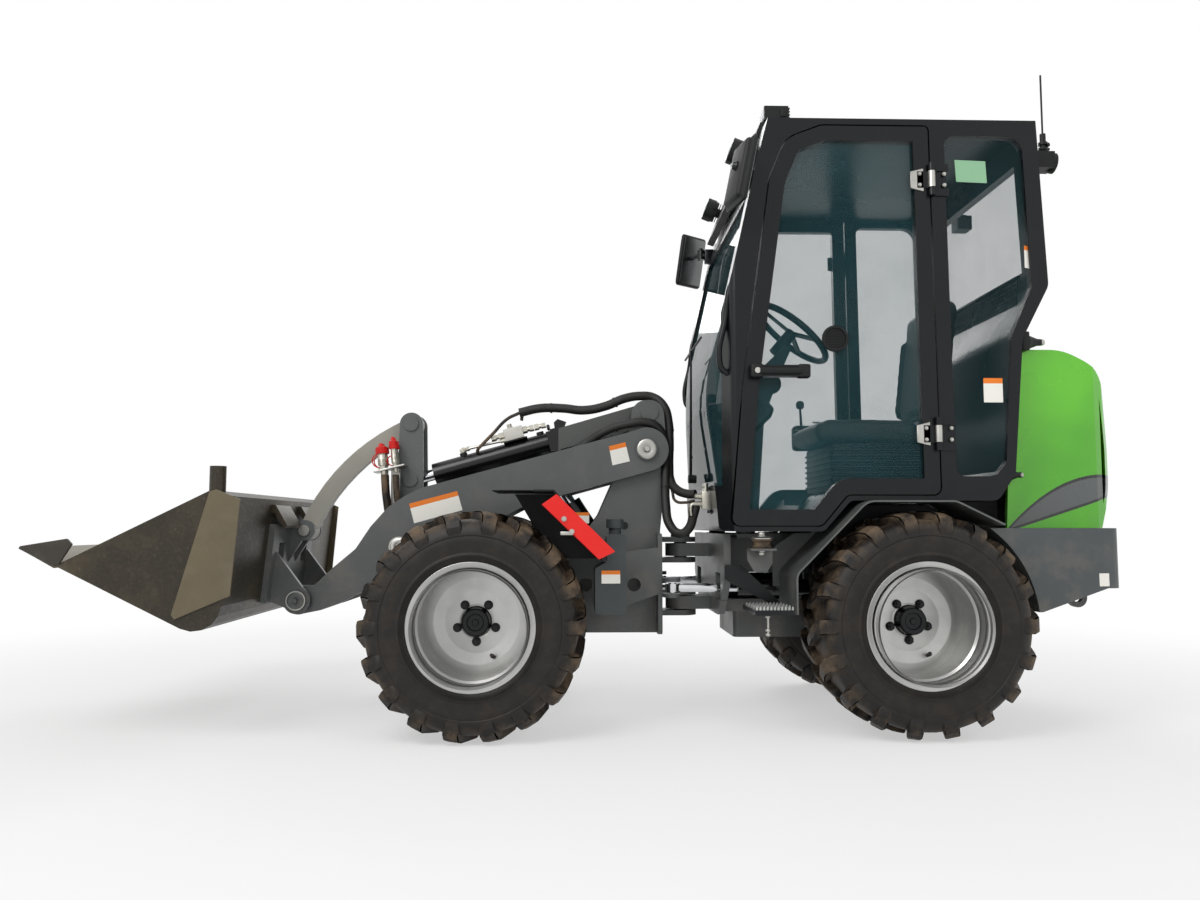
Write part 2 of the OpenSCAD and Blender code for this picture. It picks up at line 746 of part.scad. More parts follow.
module tilt_lever() color(frame_c) at_origin() {
    both_sides() {
        side_form(lever_in, lever_out) difference() {
            union() {
                polygon([
                    lever_pivot + [55, 0], rod_eye + [50, 0], lever_top + [45, 0],
                    lever_top + [-45, 0], rod_eye + [-50, 0], lever_pivot + [-55, 0]
                ]);
                translate(lever_pivot) circle(r = 55);
                translate(lever_top) circle(r = 45);
            }
            translate(lever_pivot) circle(d = link_pin_d + 8 + 2 * pin_gap);
        }
        bar_y(rod_eye, 56, lever_out, lever_out + 8);
        bar_y(lever_top, 56, lever_out, lever_out + 8);
    }
    // Torque tube around the lever pin
    difference() {
        bar_y(lever_pivot, 96, -boom_in + 5, boom_in - 5);
        bar_y(lever_pivot, link_pin_d + 8 + 2 * pin_gap, -200, 200);
    }
    // Web that joins the two plates
    side_plate([
        lever_pivot + [-50, 40], lever_pivot + [-20, 40], lever_pivot + [-25, 150],
        lever_pivot + [-52, 150]
    ], -lever_in - 1, lever_in + 1);
}

// The bar that ties the lever to the coupler, bowed upwards
function bowed(p, q, bow, t) =
    let (mid = (p + q) / 2, n = unit([q[1] - p[1], p[0] - q[0]]))
    (1 - t) * (1 - t) * p + 2 * t * (1 - t) * (mid - 2 * bow * n) + t * t * q;

module tilt_link() color(link_c) at_origin() {
    bow = 55;
    upper = [for (t = [0:0.1:1]) bowed(lever_top, coupler_top, bow, t)];
    lower = [for (t = [1:-0.1:0]) bowed(lever_top, coupler_top, bow, t)];
    wide = unit(turned(coupler_top - lever_top, 90)) * 34;
    difference() {
        union() {
            side_form(-20, 20) polygon([
                for (p = upper) p + wide,
                for (p = lower) p - wide
            ]);
            bar_y(lever_top, 76, -lever_in + 5, lever_in - 5);
            bar_y(coupler_top, 76, -ear_in + 4, ear_in - 4);
        }
        bar_y(coupler_top, link_pin_d + 2 * pin_gap, -60, 60);
    }
}

module link_pin() color(steel_c) at_origin()
    bar_y(coupler_top, link_pin_d, -ear_out - 8, ear_out + 8);

module coupler_pin() color(steel_c) at_origin() {
    head_y = 222;
    bar_y(coupler_low, link_pin_d + 8, -head_y, head_y);
    both_sides() bar_y(coupler_low, link_pin_d + 30, head_y, head_y + 8);
}

// ---------------------------------------------------------------- coupler and bucket

module rolled() translate([heel[0], 0, heel[1]]) rotate([0, -bucket_curl, 0]) children();
function level(p) = turned(p - heel, -bucket_curl);

low_l = level(coupler_low);
top_l = level(coupler_top);
back_low = [-160, 0];
back_top = [14, 457];
back_dir = unit(back_top - back_low);
back_n = [-back_dir[1], back_dir[0]];
function on_back(along_it, off) = back_low + back_dir * along_it + back_n * off;

module bucket_side_outline() polygon(rounded([
    [-160, 0, 90], [426, 0], [95, 440, 20], [14, 457]
]));

post = [1614, 590];
post_d = 53;
module bucket() color(bucket_c) at_origin() {
    bucket_body();
    // Marker post socket behind the left side plate
    difference() {
        bar_z(post, post_d, 800, 918);
        bar_z(post, post_d - 9, 850, 920);
    }
    block(post[0] - 3, post[0] + 3, post[1] + 20, bucket_w / 2 - 2, 806, 830);
}
module bucket_body() rolled() {
    side_plate(walled([
        [426, 0], [-160, 0, 90], [14, 457], [95, 440]
    ], bucket_t), -bucket_w / 2, bucket_w / 2);
    both_sides() {
        side_form(bucket_w / 2 - bucket_t, bucket_w / 2) bucket_side_outline();
    }
    // Cutting edge
    side_plate([
        [400, bucket_t], [425, -8], [edge_reach, -edge_half], [edge_reach, edge_half],
        [440, bucket_t]
    ],
        -bucket_w / 2, bucket_w / 2);
    // Hook strip that the coupler lifts under
    both_sides() side_plate([
        on_back(470, 0), on_back(470, 12), on_back(400, 62), on_back(388, 50), on_back(440, 12),
        on_back(440, 0)
    ], 75, 255);
}

module coupler() color(frame_c) at_origin() rolled() {
    difference() {
        side_plate([
            on_back(110, seat_gap), on_back(400, seat_gap), on_back(400, 22), on_back(110, 22)
        ],
            -260, 260);
        both_sides() translate([0, 150, 0]) side_plate([
            on_back(250, -5), on_back(330, -5), on_back(330, 30), on_back(250, 30)
        ], -35, 35);
    }
    both_sides() {
        side_form(197, 217) difference() {
            union() {
                polygon([
                    on_back(115, 20), on_back(300, 20), low_l + [-30, 36], low_l + [-20, -40]
                ]);
                translate(low_l) circle(r = 50);
            }
            translate(low_l) circle(d = link_pin_d + 8 + 2 * pin_gap);
        }
        side_form(ear_in, ear_out) difference() {
            union() {
                polygon([on_back(250, 20), on_back(400, 20), top_l + [0, 40], top_l + [-10, -40]]);
                translate(top_l) circle(r = 40);
            }
            translate(top_l) circle(d = link_pin_d + 2 * pin_gap);
        }
    }
}

// ---------------------------------------------------------------- cylinders

// A barrel along +X with its base eye at the origin and an open bore for the rod
module barrel(d, bore, rod_d, from, to, eye_d, eye_w, pin_d) difference() {
    union() {
        translate([from, 0, 0]) rotate([0, 90, 0]) cylinder(d = d, h = to - from);
        rotate([90, 0, 0]) cylinder(d = eye_d, h = eye_w, center = true);
        translate([0, -eye_w / 2, -eye_d / 4]) cube([from + 1, eye_w, eye_d / 2]);
    }
    translate([from + 12, 0, 0]) rotate([0, 90, 0]) cylinder(d = bore, h = to - from - 32);
    translate([to - 40, 0, 0]) rotate([0, 90, 0]) cylinder(d = rod_d + 2 * pin_gap, h = 60);
    rotate([90, 0, 0]) cylinder(d = pin_d + 2 * pin_gap, h = eye_w + 20, center = true);
}

// A rod along +X with its piston, and an eye that carries its own short pin
module rod(d, bore, from, to, eye_d, eye_w, pin_d, pin_w) {
    translate([from, 0, 0]) rotate([0, 90, 0]) cylinder(d = d, h = to - from - eye_d / 3);
    translate([from, 0, 0]) rotate([0, 90, 0]) cylinder(d = bore - 2 * pin_gap, h = 14);
    translate([to, 0, 0]) rotate([90, 0, 0]) cylinder(d = eye_d, h = eye_w, center = true);
    translate([to, 0, 0]) rotate([90, 0, 0]) cylinder(d = pin_d, h = pin_w, center = true);
}

lift_len = norm(lift_eye - lift_base);
module lift_barrel() color(black_c) at_origin() along(lift_base, lift_eye)
    barrel(lift_d, lift_d - 18, 50, 42, 534, 62, 110, link_pin_d);
module lift_rod() color(steel_c) at_origin() along(lift_base, lift_eye)
    rod(50, lift_d - 18, 125.5, lift_len, 72, 84, link_pin_d, 92);

tilt_len = norm(rod_eye - tilt_base);
tilt_from = 377;
module tilt_barrel() color(black_c) at_origin() along(tilt_base, rod_eye) {
    difference() {
        union() {
            translate([tilt_from, 0, 0]) rotate([0, 90, 0]) cylinder(d = tilt_d, h = 500);
            both_sides() side_plate([
                [0, -46], [tilt_from + 30, -40], [tilt_from + 30, 40], [0, 46]
            ], 46, 62);
            both_sides() bar_y([0, 0], 92, 46, 100);
            block(tilt_from - 8, tilt_from + 12, -62, 62, -46, 46);
            block(120, tilt_from, -47, 47, 34, 42);
        }
        translate([tilt_from + 25, 0, 0]) rotate([0, 90, 0]) cylinder(d = tilt_d - 15, h = 447);
        translate([tilt_from + 440, 0, 0]) rotate([0, 90, 0])
            cylinder(d = 45 + 2 * pin_gap, h = 80);
        bar_y([0, 0], link_pin_d + 2 * pin_gap, -120, 120);
    }
}
module tilt_rod() color(steel_c) at_origin() along(tilt_base, rod_eye)
    rod(45, tilt_d - 15, 470, tilt_len, 70, 84, link_pin_d, 90);

steer_len = steer_eye[0] - steer_base[0];
module steer_frame(side) at_origin() translate([steer_base[0], side * steer_base[1], steer_z])
    rotate([90, 0, 0]) children();
module steer_barrel(side) color(black_c) steer_frame(side) {
    barrel(steer_d, steer_d - 12, 32, 42, 460, 50, 40, 30);
    rotate([90, 0, 0]) cylinder(d = 30, h = 76, center = true);
}
module steer_rod(side) color(steel_c) steer_frame(side)
    rod(32, steer_d - 12, 235, steer_len, 54, 30, 30, 36);
module steer_barrel_left() steer_barrel(1);
module steer_barrel_right() steer_barrel(-1);
module steer_rod_left() steer_rod(1);
module steer_rod_right() steer_rod(-1);

module front_left_tyre() tyre(axle_x, 1);
module front_right_tyre() tyre(axle_x, -1);
module rear_left_tyre() tyre(-axle_x, 1);
module rear_right_tyre() tyre(-axle_x, -1);
module front_left_rim() rim(axle_x, 1);
module front_right_rim() rim(axle_x, -1);
module rear_left_rim() rim(-axle_x, 1);
module rear_right_rim() rim(-axle_x, -1);

rear_chassis();
rear_axle();
engine();
counterweight();
rear_fenders();
steps();
cab_shell();
cab_roof();
cab_glass();
seat();
steering_console();
mirrors();
work_lights();
hood();
door_left();
door_left_glass();
door_right();
door_right_glass();
front_left_tyre();
front_left_rim();
front_right_tyre();
front_right_rim();
rear_left_tyre();
rear_left_rim();
rear_right_tyre();
rear_right_rim();
front_chassis();
front_axle();
front_fenders();
fuel_tank();
boom();
lever_pin();
tilt_lever();
coupler_pin();
coupler();
bucket();
link_pin();
tilt_link();
lift_barrel();
lift_rod();
tilt_barrel();
tilt_rod();
steer_barrel_left();
steer_rod_left();
steer_barrel_right();
steer_rod_right();
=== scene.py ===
# %% [markdown]
# A compact wheel loader, dressed for a portrait. The construction model gives every rigid part
# and every joint, so it is loaded first and kept fixed. What follows adds tread, bolts, hoses,
# trim and finishes to it, and each addition rides on the body it belongs to.

# %% Load the frame
import json
import math
import bmesh
import bpy
from mathutils import Matrix, Vector


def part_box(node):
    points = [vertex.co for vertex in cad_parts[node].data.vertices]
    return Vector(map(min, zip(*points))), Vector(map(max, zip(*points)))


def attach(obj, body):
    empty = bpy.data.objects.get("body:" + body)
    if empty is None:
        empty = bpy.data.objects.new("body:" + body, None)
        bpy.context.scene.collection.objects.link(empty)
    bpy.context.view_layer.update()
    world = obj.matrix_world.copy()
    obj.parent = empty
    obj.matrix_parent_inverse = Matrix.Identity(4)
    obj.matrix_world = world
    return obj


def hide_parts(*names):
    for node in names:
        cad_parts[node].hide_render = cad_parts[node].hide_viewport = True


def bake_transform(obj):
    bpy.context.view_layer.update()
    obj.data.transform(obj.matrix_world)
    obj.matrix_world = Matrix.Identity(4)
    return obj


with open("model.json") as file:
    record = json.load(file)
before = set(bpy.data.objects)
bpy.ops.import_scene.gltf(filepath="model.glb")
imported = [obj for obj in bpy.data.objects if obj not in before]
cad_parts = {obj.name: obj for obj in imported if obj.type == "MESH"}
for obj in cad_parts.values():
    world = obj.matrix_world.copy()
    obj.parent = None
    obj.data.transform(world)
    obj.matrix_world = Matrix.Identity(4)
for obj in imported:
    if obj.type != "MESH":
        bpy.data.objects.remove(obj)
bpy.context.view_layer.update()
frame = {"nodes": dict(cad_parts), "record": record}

nodes = frame["nodes"]
joints = {joint["name"]: joint for joint in frame["record"]["behaviour"]["joints"]}

# %% [markdown]
# A loader is measured from the vertical pin it steers on, so that is the datum here too: `at`
# takes millimetres forward of the pin, to the left, and above the ground, and gives a point in
# metres. Joints are looked up by name, so a pin cap sits on its pin wherever the pin is. Most
# details come in pairs, and `sides` gives each pair its names and the sign of its width.

# %% Datum and joint places
pivot_x = joints["steering"]["pos_m"][0]
sides = {"left": 1, "right": -1}


def at(x, y, z):
    return Vector((pivot_x + x / 1000, y / 1000, z / 1000))


def joint_at(name, y=0.0):
    place = joints[name]["pos_m"]
    return Vector((place[0], y / 1000, place[2]))


print("steering pin at", round(pivot_x, 4))
print("boom pivot at", [round(v, 3) for v in joint_at("boom_lift")])

# %% [markdown]
# The camera stands level with the top of the wheel hubs, a little ahead of the steering pin, and
# looks slightly up and back. It is a wide lens close to the machine, which makes the near tyres
# bulge and the far ones shrink. It is made first because everything else is judged through it.

# %% Camera
lens = bpy.data.cameras.new("portrait_lens")
lens.lens = 28.44
camera = bpy.data.objects.new("portrait_camera", lens)
bpy.context.scene.collection.objects.link(camera)
camera.location = at(430, 3790, 722)
look_back, look_up = math.radians(1.66), math.radians(4.52)
look = Vector((-math.sin(look_back), -math.cos(look_back), math.tan(look_up)))
camera.rotation_euler = look.to_track_quat("-Z", "Y").to_euler()
bpy.context.scene.camera = camera
print("camera at", [round(v, 3) for v in camera.location])

# %% [markdown]
# Floor and light. The floor is one large pale sheet. The world is white to the camera and to
# reflections and dimmer as a light, so the backdrop is white without washing out the paint.
# Three broad area lamps give the soft modelling of a studio. The fill lamp is kept out of
# reflections, because the flat panes would show it as a disc.

# %% Floor, world and lamps
bpy.context.scene.view_settings.view_transform = "Standard"


def made_object(name, bm):
    mesh = bpy.data.meshes.new(name)
    bm.to_mesh(mesh)
    bm.free()
    thing = bpy.data.objects.new(name, mesh)
    bpy.context.scene.collection.objects.link(thing)
    return thing


bm = bmesh.new()
bmesh.ops.create_grid(bm, x_segments=1, y_segments=1, size=40)
floor = made_object("studio_floor", bm)

world = bpy.data.worlds.new("studio")
bpy.context.scene.world = world
world.use_nodes = True


def area_lamp(name, place, aim, watts, mirrored=True):
    light = bpy.data.lights.new(name, "AREA")
    light.shape, light.size, light.energy = "DISK", 3.0, watts
    lamp = bpy.data.objects.new(name, light)
    bpy.context.scene.collection.objects.link(lamp)
    lamp.location = place
    lamp.rotation_euler = (aim - place).to_track_quat("-Z", "Y").to_euler()
    lamp.visible_glossy = mirrored


area_lamp("key_light", at(2600, 3600, 4200), at(0, 0, 900), 125)
area_lamp("fill_light", at(-2800, 3800, 2600), at(-400, 0, 900), 60, mirrored=False)
area_lamp("back_light", at(-600, -4200, 3800), at(0, 0, 1000), 90)

# %% [markdown]
# Finishes are sums and products of noise, so they read best as arithmetic. `Value` wraps one
# socket and turns + - * / into Math nodes. `Graph` holds a node tree: its `node` method makes
# any node, with its settings first and the values or links of its sockets after. `Finish` is
# the graph of one material.

# %% A socket that does sums
class Value:
    def __init__(self, graph, socket):
        self.graph, self.socket = graph, socket

    def _math(self, operation, first, second):
        return self.graph.node("ShaderNodeMath", {"operation": operation}, {0: first, 1: second})

    def __add__(self, other): return self._math("ADD", self, other)
    def __radd__(self, other): return self._math("ADD", other, self)
    def __sub__(self, other): return self._math("SUBTRACT", self, other)
    def __rsub__(self, other): return self._math("SUBTRACT", other, self)
    def __mul__(self, other): return self._math("MULTIPLY", self, other)
    def __truediv__(self, other): return self._math("DIVIDE", self, other)
    def __gt__(self, other): return self._math("GREATER_THAN", self, other)
    def __lt__(self, other): return self._math("LESS_THAN", self, other)
    def clamped(self): return self.graph.node("ShaderNodeClamp", {}, {"Value": self})

    def between(self, low, high):
        """0 below low, 1 above high, and smooth from one to the other."""
        return self.graph.node("ShaderNodeMapRange", {"interpolation_type": "SMOOTHSTEP"},
                               {"Value": self, "From Min": low, "From Max": high})


# %% A node tree, and the tree of one material
class Graph:
    def __init__(self, tree):
        self.tree = tree

    def feed(self, socket, value):
        if isinstance(value, Value):
            self.tree.links.new(value.socket, socket)
        else:
            socket.default_value = value

    def node(self, kind, settings, given, output=0):
        made = self.tree.nodes.new(kind)
        for key, value in settings.items():
            setattr(made, key, value)
        for key, value in given.items():
            self.feed(made.inputs[key], value)
        return Value(self, made.outputs[output])

    def vector_math(self, operation, *given, output=0):
        return self.node("ShaderNodeVectorMath", {"operation": operation},
                         dict(enumerate(given)), output)


class Finish(Graph):
    def __init__(self, name, mirror=None):
        self.material = bpy.data.materials.new(name)
        self.material.use_nodes = True
        super().__init__(self.material.node_tree)
        self.shader = self.tree.nodes["Principled BSDF"]
        self.place = self.node("ShaderNodeTexCoord", {}, {}, "Object")
        if mirror is not None:
            self.shader.inputs["Specular IOR Level"].default_value = mirror

    def noise(self, scale, detail=3.0, roughness=0.55, place=None):
        return self.node("ShaderNodeTexNoise", {}, {
            "Vector": place or self.place, "Scale": scale, "Detail": detail,
            "Roughness": roughness})

    def cells(self, scale):
        return self.node("ShaderNodeTexVoronoi", {}, {"Vector": self.place, "Scale": scale})

    def stretched(self, x, y, z):
        return self.vector_math("MULTIPLY", self.place, (x, y, z))

    def axis(self, letter):
        return self.node("ShaderNodeSeparateXYZ", {}, {"Vector": self.place}, letter.upper())

    def blend(self, first, second, factor):
        """A colour between two colours."""
        return self.node("ShaderNodeMix", {"data_type": "RGBA"},
                         {"Factor": factor, 6: first, 7: second}, 2)

    def set(self, **sockets):
        """Links or values for the shader, with _ for a space in a socket's name."""
        for key, value in sockets.items():
            self.feed(self.shader.inputs[key.replace("_", " ")], value)

    def bump(self, height, distance, strength):
        self.set(Normal=self.node("ShaderNodeBump", {}, {
            "Height": height, "Distance": distance, "Strength": strength}))


def colour(red, green, blue):
    """A screen colour, 0 to 255, as the linear colour that shaders use."""
    linear = [(v / 255 / 12.92) if v < 11 else ((v / 255 + 0.055) / 1.055) ** 2.4
              for v in (red, green, blue)]
    return (*linear, 1.0)


def shaded(tint, factor):
    """A colour made darker or lighter."""
    return (*[channel * factor for channel in tint[:3]], 1)


print("frame grey in linear light", [round(v, 3) for v in colour(84, 88, 92)])

# %% [markdown]
# The world and the floor are white wherever the camera or a reflection looks, and a plain grey
# to everything else. Near the machine the floor is only half white, so that its shadow stays;
# further out it fades to pure white, and no horizon shows.

# %% Backdrop shading
def looked_at(graph):
    """1 for rays from the camera, off a mirror or through a pane, and 0 for all others."""
    camera_ray, glossy_ray, clear_ray = [
        graph.node("ShaderNodeLightPath", {}, {}, f"Is {kind} Ray")
        for kind in ("Camera", "Glossy", "Transmission")]
    return (camera_ray + glossy_ray + clear_ray).clamped()


sky = Graph(world.node_tree)
plain = sky.tree.nodes["Background"]
sky.feed(plain.inputs["Color"], (1, 1, 1, 1))
sky.feed(plain.inputs["Strength"], 0.5)
white = sky.node("ShaderNodeBackground", {}, {"Color": (1, 1, 1, 1), "Strength": 1.0})
backdrop = sky.node("ShaderNodeMixShader", {}, {
    0: looked_at(sky), 1: Value(sky, plain.outputs[0]), 2: white})
sky.feed(sky.tree.nodes["World Output"].inputs["Surface"], backdrop)

pale = Finish("pale_floor", mirror=0.1)
pale.set(Base_Color=(0.86, 0.86, 0.86, 1), Roughness=0.75)
fade_start, fade_end = 1.6, 5.0
reach = pale.vector_math("LENGTH", pale.place, output="Value")
glow = pale.node("ShaderNodeEmission", {}, {"Color": (1, 1, 1, 1), "Strength": 1.0})
share = looked_at(pale) * (reach.between(fade_start, fade_end) * 0.5 + 0.5)
lit = Value(pale, pale.shader.outputs["BSDF"])
mixed = pale.node("ShaderNodeMixShader", {}, {0: share, 1: lit, 2: glow})
pale.feed(pale.tree.nodes["Material Output"].inputs["Surface"], mixed)
floor.data.materials.append(pale.material)
print("floor fades to white from", fade_start, "to", fade_end, "m")

# %% [markdown]
# Enamel on plate steel. Machine paint is sprayed thick, so it has a faint orange peel, a tone
# that drifts from plate to plate and a film of dust low down. One recipe covers every painted
# part, which keeps the machine of one piece. Where a part has a second colour at one end,
# `trim` says behind which place it starts.

# %% Enamel
def enamel(name, tint, rough=0.38, dust=0.35, shift=0.18, mirror=0.5, trim=None):
    paint = Finish(name, mirror)
    drift = paint.noise(2.6, 2).between(0.3, 0.7)
    speck = paint.noise(90, 4, 0.7).between(0.56, 0.75)
    low = 1 - paint.axis("z").between(0.2, 1.1)
    film = (paint.noise(9, 5, 0.62).between(0.42, 0.72) * (low * dust + dust * 0.25)).clamped()
    base = paint.blend(shaded(tint, 1 - shift), tint, drift)
    if trim:
        where, second = trim
        base = paint.blend(base, second, paint.axis("x") < at(where, 0, 0).x)
    dusty = paint.blend(base, colour(150, 138, 122), film * 0.55)
    paint.set(Base_Color=paint.blend(dusty, shaded(tint, 0.6), speck * 0.25),
              Roughness=(rough + film * 0.3 + drift * 0.05), Metallic=0.0)
    paint.bump(paint.noise(420, 2) * 0.6 + paint.noise(60, 2) * 0.4, 0.0004, 0.35)
    return paint.material


frame_grey = enamel("frame_grey", colour(86, 89, 89))
weight_grey = enamel("weight_grey", colour(72, 77, 79), trim=(-1464, colour(15, 16, 18)))
link_grey = enamel("link_grey", colour(150, 148, 138), dust=0.25)
satin_black = enamel("satin_black", colour(13, 16, 19), rough=0.26, dust=0.03, mirror=0.3)
barrel_black = enamel("barrel_black", colour(12, 12, 14), rough=0.18, dust=0.03, mirror=0.4)
tilt_barrel_paint = enamel("tilt_barrel_paint", colour(12, 12, 14), rough=0.2, dust=0.05,
                           mirror=0.4, trim=(486, colour(80, 82, 80)))
flag_red = enamel("flag_red", colour(226, 20, 12), rough=0.30, dust=0.06, shift=0.06)
blank_label = enamel("blank_label", colour(232, 230, 222), rough=0.42, dust=0.08, shift=0.03)
sticker_green = enamel("sticker_green", colour(132, 176, 140), rough=0.42, dust=0.05, shift=0.03)
blank_amber = enamel("blank_amber", colour(226, 120, 26), rough=0.42, dust=0.08, shift=0.03)
block_white = enamel("block_white", colour(206, 204, 196), rough=0.36, dust=0.12, shift=0.08)
worn_bronze = enamel("worn_bronze", colour(98, 88, 66), rough=0.4, dust=0.3)
edge_steel = enamel("edge_steel", colour(52, 47, 38), rough=0.4, dust=0.3)
print("floor and enamels:", len(bpy.data.materials), "materials")

# %% [markdown]
# The hood is a gloss green moulding with a sweeping grey band edged in black at its foot. The
# band could be a sheet laid on the hood, but paint has no thickness, so it is drawn in the
# material: its upper edge is a parabola in the hood's own length and height, its lower edge is
# a straight line, and the two meet in a point at the front.

# %% Hood green with its band
band_tip, band_run, band_foot = 1159.0, 334.0, 743.0


def hood_green_with_band():
    paint = Finish("hood_green")
    length = (pivot_x - paint.axis("x")) * 1000.0     # millimetres behind the steering pin
    height = paint.axis("z") * 1000.0
    run = (length - band_tip) / band_run              # 0 at the tip, 1 at the back of the hood
    upper = run * 330.0 - run * run * 169.0 + band_foot
    lower = (length - 1257.0) * 0.325 + 740.0
    inside = (height < upper) * (height > lower)
    core = (height < upper - 11.0) * (height > lower + 10.0)
    lime = paint.blend(colour(70, 160, 3), colour(88, 184, 6), paint.noise(3, 2).between(0.3, 0.7))
    black = paint.blend(lime, colour(18, 19, 18), inside)
    drift = paint.noise(6, 4).between(0.35, 0.7)
    paint.set(Base_Color=paint.blend(black, colour(78, 82, 82), core),
              Roughness=drift * 0.1 + 0.2, Coat_Weight=0.6, Coat_Roughness=0.05)
    paint.bump(paint.noise(320, 2), 0.0003, 0.3)
    return paint.material


hood_green = hood_green_with_band()
print("hood band from", band_foot, "to", band_foot + 330 - 169, "mm up")

# %% [markdown]
# Bare and plated metal. The cylinder rods are hard chrome with a faint grain. The pins and nuts
# are zinc plated, which is cloudy and a little yellow. The bucket is dark painted steel that the
# ground has scoured: bronze where the paint is thin, and paler towards the cutting edge.

# %% Metals
def metal(name, tint, rough, cloud=7.0, grain=500.0, depth=0.0003):
    steel = Finish(name)
    clouds = steel.noise(cloud, 4, 0.6).between(0.35, 0.7)
    steel.set(Base_Color=steel.blend(shaded(tint, 0.72), tint, clouds), Metallic=1.0,
              Roughness=steel.noise(grain, 2) * 0.12 + rough)
    steel.bump(steel.noise(grain, 2), depth, 0.25)
    return steel.material


rod_chrome = metal("rod_chrome", (0.74, 0.75, 0.77, 1), 0.06, cloud=3, depth=0.0001)
pin_zinc = metal("pin_zinc", (0.60, 0.59, 0.55, 1), 0.32)
zinc_tread = metal("zinc_tread", (0.56, 0.56, 0.54, 1), 0.38, cloud=16)
brass_fitting = metal("brass_fitting", (0.62, 0.60, 0.52, 1), 0.30)
rim_silver = metal("rim_silver", (0.55, 0.55, 0.535, 1), 0.30, cloud=3, grain=300, depth=0.0002)
engine_iron = metal("engine_iron", (0.10, 0.10, 0.10, 1), 0.55)
mirror_silver = metal("mirror_silver", (0.22, 0.23, 0.23, 1), 0.22, cloud=2, depth=0.00002)


def scoured_steel():
    steel = Finish("scoured_steel")
    streaks = steel.noise(30, 6, 0.7, steel.stretched(3, 1.2, 3)).between(0.45, 0.75)
    patches = steel.noise(3.2, 5, 0.65).between(0.4, 0.68)
    scratches = steel.noise(140, 3, 0.6, steel.stretched(0.35, 4, 0.35)).between(0.62, 0.72)
    edge = ((steel.axis("x") - at(2060, 0, 0).x) / 0.12).clamped()
    bronze = steel.blend(colour(46, 41, 32), colour(76, 67, 50), patches * 0.8)
    worn = steel.blend(bronze, colour(112, 104, 86), (streaks * 0.16 + scratches * 0.22).clamped())
    steel.set(Base_Color=steel.blend(worn, colour(140, 134, 118), edge * 0.7),
              Metallic=0.35, Roughness=0.42 - streaks * 0.1)
    steel.bump(steel.noise(45, 5, 0.65) * 0.7 + scratches * 0.3, 0.0006, 0.3)
    return steel.material


bucket_bronze = scoured_steel()
print("with metals:", len(bpy.data.materials), "materials")

# %% [markdown]
# Rubber, plastic, glass and leather. Tyre rubber is nearly black, but the tread carries dry
# soil, more of it the further out from the hub, so the dust follows each wheel's own radius.
# Hoses in woven sleeve have a fine diagonal weave. Plastic has a fine moulded grain. The panes
# are blue green, dark enough to hide the inside a little and clear enough to see the wheel and
# the seat. The windscreen is made more opaque than the other panes, a painted shade that darkens
# it.

# %% Rubber and woven sleeve
def rubber(name, hub=None):
    tyre = Finish(name, mirror=0.35)
    soil = tyre.noise(14, 6, 0.68).between(0.38, 0.7)
    if hub is not None:
        across = tyre.vector_math("SUBTRACT", tyre.place, tuple(hub))
        flat = tyre.vector_math("MULTIPLY", across, (1, 0, 1))
        outer = tyre.vector_math("LENGTH", flat, output="Value").between(0.315, 0.372)
        soil = (soil * (outer * 0.8 + 0.08)).clamped()
    tyre.set(Base_Color=tyre.blend(colour(22, 20, 19), colour(112, 94, 74), soil),
             Roughness=soil * 0.3 + 0.5)
    tyre.bump(tyre.noise(260, 4, 0.65) * 0.5 + tyre.noise(30, 4, 0.6) * 0.5, 0.0012, 0.4)
    return tyre.material


def woven(name):
    sleeve = Finish(name)
    weave = sleeve.node("ShaderNodeTexWave", {"wave_type": "BANDS", "bands_direction": "DIAGONAL"},
                        {"Vector": sleeve.place, "Scale": 95.0, "Distortion": 1.2}, 1)
    wear = sleeve.noise(16, 4).between(0.45, 0.75)
    worn = (weave * 0.35 + wear * 0.5).clamped()
    sleeve.set(Base_Color=sleeve.blend(colour(10, 10, 11), colour(38, 35, 30), worn),
               Roughness=wear * 0.2 + 0.55)
    sleeve.bump(weave, 0.0008, 0.5)
    return sleeve.material


hose_black, sleeve_black = rubber("hose_black"), woven("sleeve_black")
print("with rubber:", len(bpy.data.materials), "materials")


# %% Moulded plastic
def plastic(name, tint, rough=0.46, grain=900.0, mirror=0.35):
    shell = Finish(name, mirror)
    drift = shell.noise(5, 3).between(0.3, 0.7)
    shell.set(Base_Color=shell.blend(shaded(tint, 0.8), tint, drift),
              Roughness=drift * 0.1 + rough)
    shell.bump(shell.cells(grain), 0.00025, 0.35)
    return shell.material


grained_black = plastic("grained_black", colour(13, 14, 16))
grained_grey = plastic("grained_grey", colour(82, 86, 88), 0.5)
cowl_black = plastic("cowl_black", colour(9, 10, 11), 0.7, mirror=0.06)
tank_grey = plastic("tank_grey", colour(62, 67, 68), 0.42)
cap_red = plastic("cap_red", colour(205, 28, 22), 0.35)
lamp_white = plastic("lamp_white", colour(220, 222, 224), 0.12, 160)
lamp_red = plastic("lamp_red", colour(140, 12, 10), 0.15, 160)
print("with plastics:", len(bpy.data.materials), "materials")


